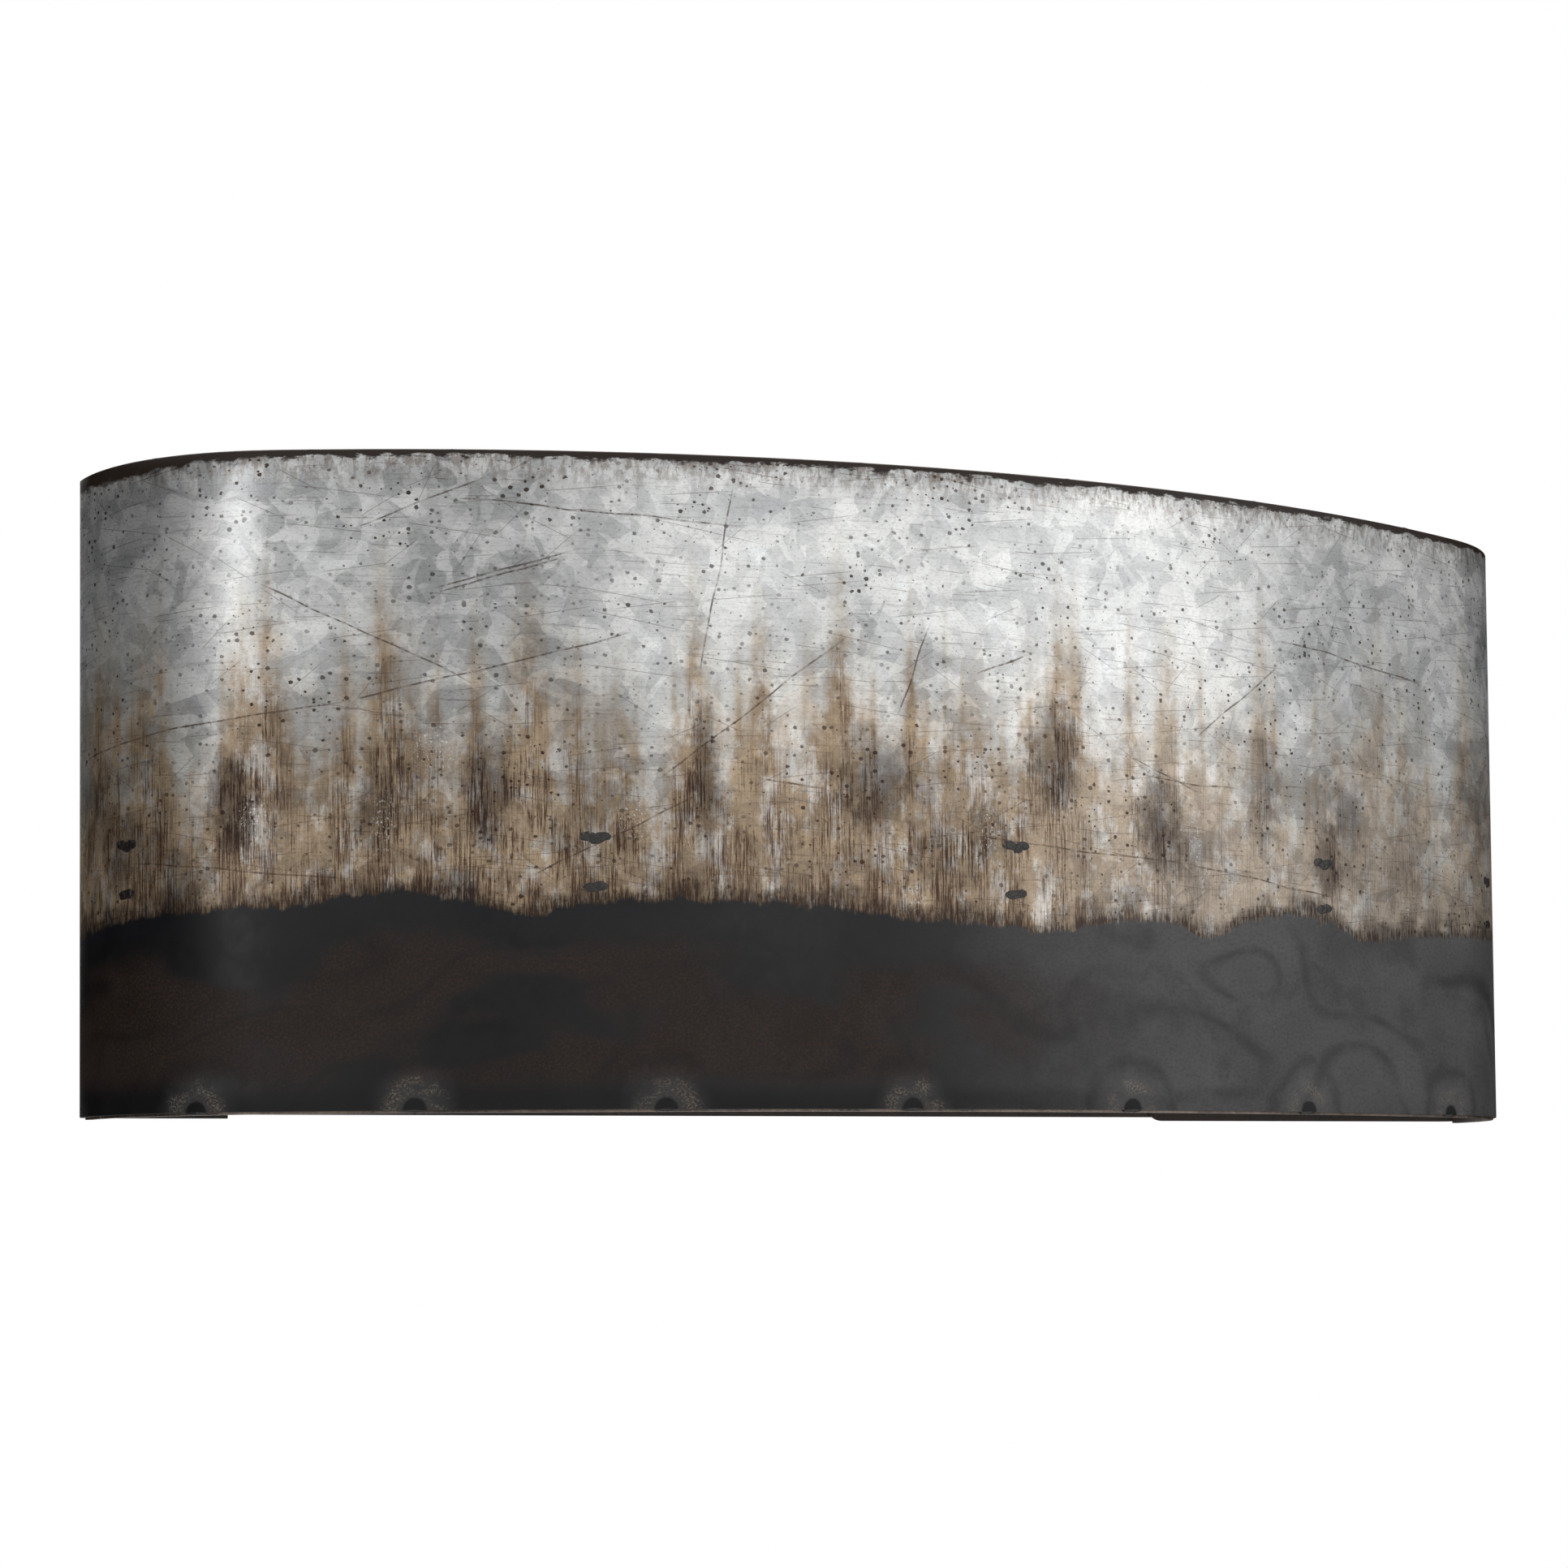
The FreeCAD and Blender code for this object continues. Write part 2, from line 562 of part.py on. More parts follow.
def build_studs():
    studs, locks = [], []
    for side, sign in SIDES.items():
        foot = V(sign * mm.stud_pitch / 2, 0, 0)
        studs.append(rod(f"stud_{side}", "stud_radius", "pan_depth + cap_nut_skirt + stud_spare", foot,
                         -Y_DIR))
        seat = foot - Y_DIR * mm.bar_wall
        blank = rod(f"lock_blank_{side}", "lock_nut_radius", "lock_nut_wall", seat, -Y_DIR)
        bore = rod(f"lock_bore_{side}", "stud_radius + thread_clear", "lock_nut_wall * 3",
                   seat + Y_DIR * mm.lock_nut_wall, -Y_DIR)
        locks.append(cut(f"lock_{side}", blank, bore))
        face = foot - Y_DIR * mm.pan_depth
        shoulder = face - Y_DIR * mm.cap_nut_skirt
        skirt = rod(f"cap_skirt_{side}", "cap_nut_radius", "cap_nut_skirt", face, -Y_DIR)
        crown = dome(f"cap_crown_{side}", "cap_nut_radius", "cap_nut_dome", shoulder, -Y_DIR)
        thread = rod(f"cap_bore_{side}", "stud_radius + thread_clear",
                     "cap_nut_skirt + 1.5 * stud_spare", face, -Y_DIR)
        keep(f"cap_nut_{side}", cut(f"cap_{side}", fuse(f"cap_blank_{side}", skirt, crown), thread))
    keep("mounting_studs", group("stud_pair", studs))
    keep("stud_lock_nuts", group("lock_pair", locks))
    head_at = V(mm.ground_place, -mm.bar_wall, 0)
    head = rod("ground_head", "ground_head", "ground_head_wall", head_at, -Y_DIR)
    shank = rod("ground_shank", "ground_radius", "bar_wall", V(mm.ground_place, 0, 0), -Y_DIR)
    keep("ground_screw", fuse("ground", head, shank))


# ---------------------------------------------------------------- lampholders

# each diameter follows from the lamp cap's, outward through the screw shell to the porcelain
SHELL_RADIUS = "(cap_radius + cap_clear + shell_wall)"
HOLDER_BORE = f"({SHELL_RADIUS} + shell_clear)"
HOLDER_RADIUS = f"({HOLDER_BORE} + holder_wall)"
holder_radius = mm.cap_radius + mm.cap_clear + mm.shell_wall + mm.shell_clear + mm.holder_wall
lamp_reach = mm.pan_depth + mm.holder_clear + holder_radius


def screw(name, head_at, along, shank):
    """A domed screw; the head sits at a point and the shank runs along a direction."""
    top = dome(name + "_head", "screw_head", "screw_crown", head_at, -along)
    return fuse(name, top, rod(name + "_shank", "screw_radius", shank, head_at, along))


def build_bracket():
    """A U of strip: a base against the pan and a leg for each lampholder."""
    wide, deep, high = mm.bracket_width, mm.holder_clear + 2 * holder_radius, 2 * holder_radius
    depth, height = f"holder_clear + 2 * {HOLDER_RADIUS}", f"2 * {HOLDER_RADIUS}"
    corner = V(-wide / 2, -mm.pan_depth - deep, mm.lamp_rise - high / 2)
    block = box("bracket_block", "bracket_width", depth, height, corner)
    gap = box("bracket_gap", "bracket_width - 2 * bracket_wall", depth, height + " * 2",
              corner + V(mm.bracket_wall, -mm.bracket_wall, -high / 2))
    strip = cut("bracket_strip", block, gap)
    base = V(0, 0, mm.lamp_rise)
    clear_radius = "screw_radius + thread_clear"
    holes = [rod("bracket_bushing_hole", "bushing_radius + thread_clear", "pan_depth * 2", base, -Y_DIR)]
    screws, holder_screws = [], []
    for sign in (-1, 1):
        place = V(0, 0, mm.lamp_rise + sign * mm.bracket_screw_pitch / 2)
        holes.append(rod(f"bracket_hole_{sign + 1}", clear_radius, "pan_depth * 2", place, -Y_DIR))
        head_at = place - Y_DIR * (mm.pan_depth + mm.bracket_wall)
        screws.append(screw(f"bracket_screw_{sign + 1}", head_at, Y_DIR, "bracket_wall + pan_wall * 3"))
        level = V(-wide, -lamp_reach, mm.lamp_rise + sign * mm.holder_screw_pitch / 2)
        holes.append(rod(f"holder_hole_{sign + 1}", clear_radius, "bracket_width * 2", level, X_DIR))
        for side, toward in SIDES.items():
            floor_at = V(toward * (wide / 2 + mm.holder_floor), level.y, level.z)
            holder_screws.append(screw(f"holder_screw_{side}_{sign + 1}", floor_at, X_DIR * -toward,
                                       "holder_floor + bracket_wall * 2"))
    lead_way = V(-wide, -lamp_reach, mm.lamp_rise)
    holes.append(rod("bracket_lead_hole", "lead_hole", "bracket_width * 2", lead_way, X_DIR))
    keep("lampholder_bracket", cut("bracket", strip, fuse("bracket_holes", *holes)))
    keep("bracket_screws", group("bracket_screw_pair", screws))
    keep("lampholder_screws", group("lampholder_screw_set", holder_screws))


def outward_place(toward, distance):
    """Placement whose local Z runs along a lamp's axis, from a distance beside the middle."""
    turn = FreeCAD.Rotation(Z_DIR, X_DIR * toward)
    return FreeCAD.Placement(V(toward * distance, -lamp_reach, mm.lamp_rise), turn)


def build_lampholder(side, toward):
    base = outward_place(toward, mm.bracket_width / 2)
    outer = rod(f"holder_outer_{side}", HOLDER_RADIUS, "holder_length", V())
    bore = rod(f"holder_bore_{side}", HOLDER_BORE, "holder_length", V(0, 0, mm.holder_floor))
    holes = [bore, rod(f"holder_lead_{side}", "lead_hole", "holder_floor * 3", V(0, 0, -mm.holder_floor))]
    for sign in (-1, 1):
        for_screw = local_up(toward) * (sign * mm.holder_screw_pitch / 2)
        holes.append(rod(f"holder_screw_hole_{side}_{sign + 1}", "screw_radius + thread_clear",
                         "holder_floor * 3", for_screw - Z_DIR * mm.holder_floor))
    holder = cut(f"holder_{side}", outer, fuse(f"holder_holes_{side}", *holes))
    holder.Placement = base
    keep(f"lampholder_{side}", holder)
    tube = rod(f"shell_tube_{side}", SHELL_RADIUS, "shell_length", V(0, 0, mm.shell_start))
    inside = rod(f"shell_bore_{side}", f"{SHELL_RADIUS} - shell_wall", "shell_length * 2",
                 V(0, 0, mm.shell_start - mm.shell_length / 2))
    shell = cut(f"shell_{side}", tube, inside)
    shell.Placement = base
    keep(f"screw_shell_{side}", shell)
    spring = rod(f"spring_{side}", "spring_radius", "spring_height", V())
    spring.Placement = outward_place(toward, mm.bracket_width / 2 + mm.holder_floor)
    keep(f"centre_contact_{side}", spring)


def local_up(toward):
    """World +Z seen in a lamp's own axes."""
    return FreeCAD.Rotation(Z_DIR, X_DIR * toward).inverted().multVec(Z_DIR)


# ---------------------------------------------------------------- lamps


def build_lamp(side, toward):
    """A pear-shaped lamp lying along X: contact, insulator, cap and glass, from the tip outward."""
    base = outward_place(toward, mm.bracket_width / 2 + mm.holder_floor + mm.spring_height)
    tip = rod(f"lamp_tip_{side}", "tip_radius", "tip_wall", V())
    collar = V(0, 0, mm.tip_wall)
    insulator = cone(f"lamp_insulator_{side}", "tip_radius + tip_wall", "cap_radius - cap_wall",
                     "insulator_height", collar)
    start = collar + V(0, 0, mm.insulator_height)
    sleeve = rod(f"cap_sleeve_{side}", "cap_radius", "cap_length", start)
    inside = rod(f"cap_inside_{side}", "cap_radius - cap_wall", "cap_length * 2",
                 start - Z_DIR * mm.cap_wall)
    cap = cut(f"cap_tube_{side}", sleeve, inside)
    glass = cut(f"glass_{side}", envelope(f"glass_outer_{side}", "0", 0.0),
                envelope(f"glass_inner_{side}", "glass_wall", mm.glass_wall))
    pieces = {"lamp_contact": tip, "lamp_insulator": insulator, "lamp_cap": cap, "lamp_glass": glass}
    for label, piece in pieces.items():
        piece.Placement = base.multiply(piece.Placement)
        keep(f"{label}_{side}", piece)


def envelope(name, wall, thin):
    """Ball, neck cone and stem of the glass; wall takes it in on every side."""
    middle = mm.lamp_length - mm.bulb_radius
    neck = "(cap_radius - cap_wall - neck_clear)"
    lean = f"asin((bulb_radius - {neck}) / (lamp_length - bulb_radius - neck_end))"
    round_end = ball(name + "_ball", f"bulb_radius - {wall}", V(0, 0, middle))
    neck_run = f"lamp_length - bulb_radius - bulb_radius * sin({lean}) - neck_end"
    flare_end = f"bulb_radius * cos({lean}) - {wall}"
    flare = cone(name + "_neck", f"{neck} - {wall}", flare_end, neck_run, V(0, 0, mm.neck_end))
    stem_start = mm.tip_wall + mm.insulator_height + mm.cap_wall - 2 * thin
    stem_run = f"neck_end + {wall} * 2 - tip_wall - insulator_height - cap_wall"
    stem = rod(name + "_stem", f"{neck} - {wall}", stem_run, V(0, 0, stem_start))
    return fuse(name, round_end, flare, stem)


# ---------------------------------------------------------------- bushing and leads


def build_bushing():
    base = V(0, -mm.pan_depth + mm.pan_wall, mm.lamp_rise)
    through = rod("bushing_tube", "bushing_radius", "pan_wall + bracket_wall", base, -Y_DIR)
    flange = rod("bushing_flange", "bushing_flange", "bushing_flange_wall",
                 base - Y_DIR * (mm.pan_wall + mm.bracket_wall), -Y_DIR)
    bore = rod("bushing_bore", "bushing_bore", "pan_depth", base + Y_DIR * mm.pan_wall, -Y_DIR)
    keep("wire_bushing", cut("bushing", fuse("bushing_blank", through, flange), bore))


lead_depth = mm.pan_depth - mm.pan_wall - mm.wire_clear - mm.connector_radius


def build_lead(side, toward):
    """Round lead from its connector in the pan, through the bushing, to the lampholder's floor."""
    near = toward * mm.lead_spacing / 2
    level = mm.lamp_rise
    bend = mm.lead_bend
    start = V(toward * mm.connector_place, -lead_depth, level)
    end = V(toward * (mm.bracket_width / 2 + mm.holder_floor - 1), -lamp_reach, level)
    first = V(near + toward * bend, -lead_depth, level)
    second = V(near, -lead_depth - bend, level)
    third = V(near, -lamp_reach + bend, level)
    fourth = V(near + toward * bend, -lamp_reach, level)
    lean = bend * (1 - math.sqrt(0.5))
    first_middle = V(near + toward * lean, -lead_depth - lean, level)
    second_middle = V(near + toward * lean, -lamp_reach + lean, level)
    path = Part.Wire([
        Part.LineSegment(start, first).toShape(),
        Part.Arc(first, first_middle, second).toShape(),
        Part.LineSegment(second, third).toShape(),
        Part.Arc(third, second_middle, fourth).toShape(),
        Part.LineSegment(fourth, end).toShape(),
    ])
    section = Part.Wire(Part.Circle(start, X_DIR, mm.lead_radius).toShape())
    lead = doc.addObject("Part::Feature", f"lead_tube_{side}")
    lead.Shape = path.makePipeShell([section], True, False)
    keep(f"lamp_lead_{side}", lead)
    return cone(f"connector_{side}", "connector_radius", "connector_tip", "connector_length", start,
                X_DIR * toward)


def build_leads():
    connectors = [build_lead(side, toward) for side, toward in SIDES.items()]
    keep("wire_connectors", group("connector_pair", connectors))


# ---------------------------------------------------------------- build, check and write

build_shade()
build_straps()
build_tacks()
build_clips()
build_panel()
build_back_plate()
build_wiring_pan()
build_pan_rivets()
build_crossbar()
build_studs()
build_bracket()
for side_name, direction in SIDES.items():
    build_lampholder(side_name, direction)
    build_lamp(side_name, direction)
build_bushing()
build_leads()

doc.recompute()

problems = [f"{thing.Name}: {thing.State}" for thing in doc.Objects
            if "Invalid" in thing.State or "Error" in thing.State]
for thing in nodes:
    shape = thing.Shape
    if shape.isNull() or not shape.isValid() or not shape.Solids or shape.Volume <= 0:
        problems.append(f"{thing.Label}: no valid solid")
if problems:
    raise SystemExit("\n".join(problems))

os.makedirs("parts", exist_ok=True)
for thing in nodes:
    thing.Shape.exportStep(os.path.join("parts", thing.Label + ".step"))
    box_now = thing.Shape.BoundBox
    print(f"{thing.Label:22s} solids {len(thing.Shape.Solids):2d} volume {thing.Shape.Volume:10.1f}"
          f"  x {box_now.XMin:8.2f} {box_now.XMax:8.2f}  y {box_now.YMin:8.2f} {box_now.YMax:8.2f}"
          f"  z {box_now.ZMin:8.2f} {box_now.ZMax:8.2f}")
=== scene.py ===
import math
from contextlib import contextmanager

import bmesh
import bpy
from mathutils import Matrix, Quaternion, Vector


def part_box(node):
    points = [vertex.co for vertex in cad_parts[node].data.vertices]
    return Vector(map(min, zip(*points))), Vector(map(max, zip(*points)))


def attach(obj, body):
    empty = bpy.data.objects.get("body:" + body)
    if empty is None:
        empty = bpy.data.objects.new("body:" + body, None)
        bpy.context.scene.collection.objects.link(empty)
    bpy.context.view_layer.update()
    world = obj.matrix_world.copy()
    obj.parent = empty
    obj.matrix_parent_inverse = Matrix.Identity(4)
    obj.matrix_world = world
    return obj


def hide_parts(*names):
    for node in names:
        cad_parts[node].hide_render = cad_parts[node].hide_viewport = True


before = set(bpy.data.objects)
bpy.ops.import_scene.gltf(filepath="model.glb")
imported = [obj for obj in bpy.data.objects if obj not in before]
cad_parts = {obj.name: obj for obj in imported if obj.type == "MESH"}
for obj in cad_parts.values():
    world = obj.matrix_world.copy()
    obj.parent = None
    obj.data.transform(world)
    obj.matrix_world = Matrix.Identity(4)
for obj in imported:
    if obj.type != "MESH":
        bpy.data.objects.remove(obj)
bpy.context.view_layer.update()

# Half-oval wall light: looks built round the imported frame.  Lengths in this script are millimetres,
# turned into metres where a mesh is made.  The wall is y = 0, the light faces -Y, Z is up.

MM = 0.001
SIDES = {"left": -1, "right": 1}
MERGE_WITHIN = 0.0005
NO_AREA = 1e-14


def node_box(node):
    """A CAD node's lowest and highest corners in millimetres."""
    low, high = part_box(node)
    return low / MM, high / MM


# ---------------------------------------------------------------- sizes

shade_low, shade_high = node_box("shade_band")
HALF_WIDTH = shade_high.x
HALF_HEIGHT = shade_high.z
DEPTH = -shade_low.y
PLATE_WALL = -shade_high.y
END_RADIUS = 56
CORNER_RADIUS = 4
SIDE_STRAIGHT = 1.6
SHEET_WALL = 0.8
LEFT_RETURN = 37
RIGHT_RETURN = 97
RETURN_CORNER = 5
SIDE_DEPTH = PLATE_WALL + CORNER_RADIUS + SIDE_STRAIGHT
END_REACH = HALF_WIDTH - END_RADIUS
FRONT_RUN = DEPTH - SIDE_DEPTH
FRONT_RADIUS = (END_REACH**2 / (FRONT_RUN - END_RADIUS) + END_RADIUS + FRONT_RUN) / 2
JOIN_ANGLE = math.atan2(FRONT_RADIUS - FRONT_RUN, END_REACH)
FRONT_HALF = FRONT_RADIUS * (math.pi / 2 - JOIN_ANGLE)
HALF_RUN = FRONT_HALF + END_RADIUS * JOIN_ANGLE
CLIP_PLACES = [HALF_RUN * share for share in (-0.9, -0.41, 0.04, 0.46, 0.8)]
BOTTOM_TACKS = [HALF_RUN * share for share in (-0.81, -0.59, -0.34, -0.08, 0.18, 0.43, 0.69, 0.94)]
TOP_TACKS = [HALF_RUN * share for share in (-0.86, -0.69, -0.55, -0.35, -0.13, 0.11, 0.36, 0.62, 0.87)]
WELD_LEVELS = (51, 62.5)


def outer_face(run):
    """Point on the shade's outer face and the way it faces, at a distance round from the front."""
    side = math.copysign(1, run)
    length = abs(run)
    if length <= FRONT_HALF:
        angle, radius, centre = length / FRONT_RADIUS, FRONT_RADIUS, Vector((0, FRONT_RADIUS - DEPTH, 0))
    elif length <= HALF_RUN:
        angle = math.pi / 2 - JOIN_ANGLE + (length - FRONT_HALF) / END_RADIUS
        radius, centre = END_RADIUS, Vector((side * END_REACH, -SIDE_DEPTH, 0))
    elif length <= HALF_RUN + SIDE_STRAIGHT:
        return Vector((side * HALF_WIDTH, -SIDE_DEPTH + length - HALF_RUN, 0)), Vector((side, 0, 0))
    elif length <= HALF_RUN + SIDE_STRAIGHT + CORNER_RADIUS * math.pi / 2:
        angle = math.pi / 2 + (length - HALF_RUN - SIDE_STRAIGHT) / CORNER_RADIUS
        radius = CORNER_RADIUS
        centre = Vector((side * (HALF_WIDTH - CORNER_RADIUS), -PLATE_WALL - CORNER_RADIUS, 0))
    else:
        past = length - HALF_RUN - SIDE_STRAIGHT - CORNER_RADIUS * math.pi / 2
        return Vector((side * (HALF_WIDTH - CORNER_RADIUS - past), -PLATE_WALL, 0)), Vector((0, 1, 0))
    outward = Vector((side * math.sin(angle), -math.cos(angle), 0))
    return centre + outward * radius, outward


# ---------------------------------------------------------------- node helpers


def paint(red, green, blue):
    """A colour written in 0 to 255 display values, as the linear colour that a socket takes."""
    def linear(value):
        value /= 255
        return value / 12.92 if value <= 0.04045 else ((value + 0.055) / 1.055) ** 2.4
    return (linear(red), linear(green), linear(blue), 1)


class Wiring:
    """Adds nodes to one tree and links them as they are made."""

    def __init__(self, tree):
        self.tree = tree

    def feed(self, socket, value):
        """Links a node's output to the socket, or sets the socket to a plain value."""
        if isinstance(value, bpy.types.NodeSocket):
            self.tree.links.new(value, socket)
        else:
            socket.default_value = value

    def add(self, kind, feeds=(), **settings):
        """A new node with its settings and what feeds its sockets."""
        node = self.tree.nodes.new(kind)
        for name, value in settings.items():
            setattr(node, name, value)
        for key, value in dict(feeds).items():
            self.feed(node.inputs[key], value)
        return node

    def sums(self, operation, *values):
        """The result of one operation on one, two or three values."""
        return self.add("ShaderNodeMath", enumerate(values), operation=operation).outputs[0]

    def most(self, one, other):
        return self.sums("MAXIMUM", one, other)

    def least(self, one, other):
        return self.sums("MINIMUM", one, other)

    def minus(self, one, other):
        return self.sums("SUBTRACT", one, other)

    def over(self, one, other):
        return self.sums("DIVIDE", one, other)

    def times(self, first, *others):
        for other in others:
            first = self.sums("MULTIPLY", first, other)
        return first

    def plus(self, first, *others):
        for other in others:
            first = self.sums("ADD", first, other)
        return first

    def inverse(self, value):
        return self.minus(1.0, value)

    def fade(self, value, start, end):
        """0 at start, 1 at end, smooth between."""
        node = self.add("ShaderNodeMapRange", {"Value": value, "From Min": start, "From Max": end},
                        interpolation_type="SMOOTHSTEP")
        return node.outputs["Result"]

    def band(self, value, middle, half):
        """1 where the value is at the middle, 0 by half away from it."""
        away = self.sums("ABSOLUTE", self.minus(value, middle))
        return self.fade(away, half, 0.0)

    def mix(self, amount, one, other, mode="MIX"):
        node = self.add("ShaderNodeMix", {0: amount, 6: one, 7: other}, data_type="RGBA", blend_type=mode)
        return node.outputs[2]

    def scaled(self, place, *size):
        """The place divided by a size for each axis."""
        node = self.add("ShaderNodeVectorMath", {0: place, 1: tuple(1 / value for value in size)},
                        operation="MULTIPLY")
        return node.outputs[0]

    def nudged(self, place, texture, reach):
        """The place pushed along each axis by a texture's colour, up to a reach."""
        return self.add("ShaderNodeVectorMath", {0: texture.outputs["Color"], 1: reach, 2: place},
                        operation="MULTIPLY_ADD").outputs[0]

    def noise(self, place, size, detail=2.0, rough=0.5):
        """Cloudy noise from 0 to 1, its clouds of a size for each axis."""
        feeds = {"Vector": self.scaled(place, *size), "Scale": 1.0, "Detail": detail, "Roughness": rough}
        return self.add("ShaderNodeTexNoise", feeds).outputs["Fac"]

    def blots(self, start, end, place, size, detail=2.0, rough=0.5):
        """Noise faded from one of its values to another, which leaves separate blots."""
        return self.fade(self.noise(place, size, detail, rough), start, end)

    def cells(self, place, size):
        """A scatter of cells, each with its own colour and the distance from its middle."""
        return self.add("ShaderNodeTexVoronoi", {"Vector": self.scaled(place, *size), "Scale": 1.0})

    def combine(self, x, y, z=0.0):
        return self.add("ShaderNodeCombineXYZ", {0: x, 1: y, 2: z}).outputs[0]

    def split(self, vector):
        return self.add("ShaderNodeSeparateXYZ", {0: vector}).outputs

    def use(self, group, **values):
        """The outputs of a node group fed with values."""
        node = self.add("ShaderNodeGroup", node_tree=group)
        for name, value in values.items():
            self.feed(node.inputs[name.replace("_", " ")], value)
        return node.outputs


SOCKETS = {"colour": "NodeSocketColor", "place": "NodeSocketVector", "value": "NodeSocketFloat"}


def coloured(*names):
    """Inputs of a finish: its place, then its colours."""
    return {"Place": ("place", None), **{name: ("colour", None) for name in names}}


def shader_group(name, inputs, outputs, build):
    """A node group; build gets the wiring and the named inputs and returns the named outputs."""
    tree = bpy.data.node_groups.new(name, "ShaderNodeTree")
    for socket, (kind, value) in inputs.items():
        made = tree.interface.new_socket(socket, in_out="INPUT", socket_type=SOCKETS[kind])
        if value is not None:
            made.default_value = value
    for socket, kind in outputs.items():
        tree.interface.new_socket(socket, in_out="OUTPUT", socket_type=SOCKETS[kind])
    wiring = Wiring(tree)
    given = tree.nodes.new("NodeGroupInput").outputs
    results = build(wiring, given)
    end = tree.nodes.new("NodeGroupOutput")
    for socket, result in results.items():
        wiring.feed(end.inputs[socket], result)
    return tree


# ---------------------------------------------------------------- shared finishes


def build_specks(w, given):
    """Small uneven spots, one or none to a cell."""
    rough = w.add("ShaderNodeTexNoise", {"Vector": given["Place"], "Scale": 4.0, "Detail": 1.0})
    place = w.nudged(given["Place"], rough, (0.24, 0.24, 0.24))
    cells = w.add("ShaderNodeTexVoronoi", {"Vector": place, "Scale": 1.0})
    spread = w.split(cells.outputs["Color"])
    radius = w.times(w.plus(0.35, w.times(spread[0], spread[0], spread[0])), given["Size"])
    present = w.fade(spread[1], w.inverse(given["Share"]), w.plus(w.inverse(given["Share"]), 0.02))
    spot = w.fade(cells.outputs["Distance"], radius, w.times(radius, 0.7))
    return {"Mask": w.times(spot, present)}


speck_group = shader_group(
    "Specks", {"Place": ("place", None), "Size": ("value", 0.3), "Share": ("value", 0.5)},
    {"Mask": "value"}, build_specks)


def build_hatch(w, given):
    """Straight fine scratches that all run one way, each in its own cell of a grid."""
    turned = w.add("ShaderNodeVectorRotate", {"Vector": given["Place"], "Angle": given["Angle"]},
                   rotation_type="Z_AXIS").outputs[0]
    along, across, _ = w.split(turned)
    row = w.sums("FLOOR", w.over(across, given["Spacing"]))
    shift = w.add("ShaderNodeTexWhiteNoise", {"W": row}, noise_dimensions="1D").outputs["Value"]
    run = w.plus(w.over(along, given["Length"]), shift)
    cell = w.combine(w.sums("FLOOR", run), row, given["Angle"])
    luck = w.add("ShaderNodeTexWhiteNoise", {"Vector": cell}, noise_dimensions="3D")
    chance, offset, lean = w.split(luck.outputs["Color"])
    inside = w.sums("FRACT", run)
    height = w.sums("FRACT", w.over(across, given["Spacing"]))
    tilt = w.times(w.minus(inside, 0.5), w.minus(lean, 0.5), 0.5)
    level = w.plus(w.times(offset, 0.5), 0.25, tilt)
    away = w.times(w.sums("ABSOLUTE", w.minus(height, level)), given["Spacing"])
    line = w.fade(away, given["Width"], w.times(given["Width"], 0.4))
    ends = w.times(w.fade(inside, 0.02, 0.2), w.fade(inside, 0.98, 0.7))
    return {"Mask": w.times(line, ends, w.sums("LESS_THAN", chance, given["Share"]))}


hatch_group = shader_group(
    "Hatch scratches",
    {"Place": ("place", None), "Angle": ("value", 0.0), "Length": ("value", 30.0), "Spacing": ("value", 5.0),
     "Width": ("value", 0.15), "Share": ("value", 0.3)},
    {"Mask": "value"}, build_hatch)


def build_mottle(w, given):
    """Cloudy colour with fine grain, for lacquered, plated or cast surfaces."""
    cloud = w.noise(given["Place"], (12, 12, 12), 4, 0.6)
    grain = w.noise(given["Place"], (0.9, 0.9, 0.9), 2, 0.6)
    shade = w.plus(w.times(w.fade(cloud, 0.3, 0.7), 0.7), w.times(w.fade(grain, 0.35, 0.65), 0.3))
    speck_place = w.scaled(given["Place"], 2.4, 2.4, 2.4)
    specks = w.use(speck_group, Place=speck_place, Size=0.22, Share=0.4)["Mask"]
    marked = w.mix(w.times(specks, 0.6), w.mix(shade, given["Dark"], given["Light"]), given["Speck"])
    rough = w.plus(given["Roughness"], w.times(w.minus(cloud, 0.5), 0.3))
    relief = w.plus(w.times(grain, 0.5), w.times(cloud, 0.5))
    return {"Colour": marked, "Roughness": rough, "Height": relief}


mottle_group = shader_group(
    "Mottle",
    {**coloured("Dark", "Light", "Speck"), "Roughness": ("value", 0.5)},
    {"Colour": "colour", "Roughness": "value", "Height": "value"}, build_mottle)


def build_brushing(w, given):
    """Fine drawn lines along one axis of the object."""
    lines = w.noise(given["Place"], (0.35, 18, 18), 3, 0.7)
    broad = w.noise(given["Place"], (6, 30, 30), 2, 0.5)
    return {"Mask": w.plus(w.times(w.fade(lines, 0.3, 0.7), 0.6), w.times(w.fade(broad, 0.3, 0.7), 0.4))}


brushing_group = shader_group("Brushing", coloured(), {"Mask": "value"}, build_brushing)


# ---------------------------------------------------------------- finishes of the galvanised shade


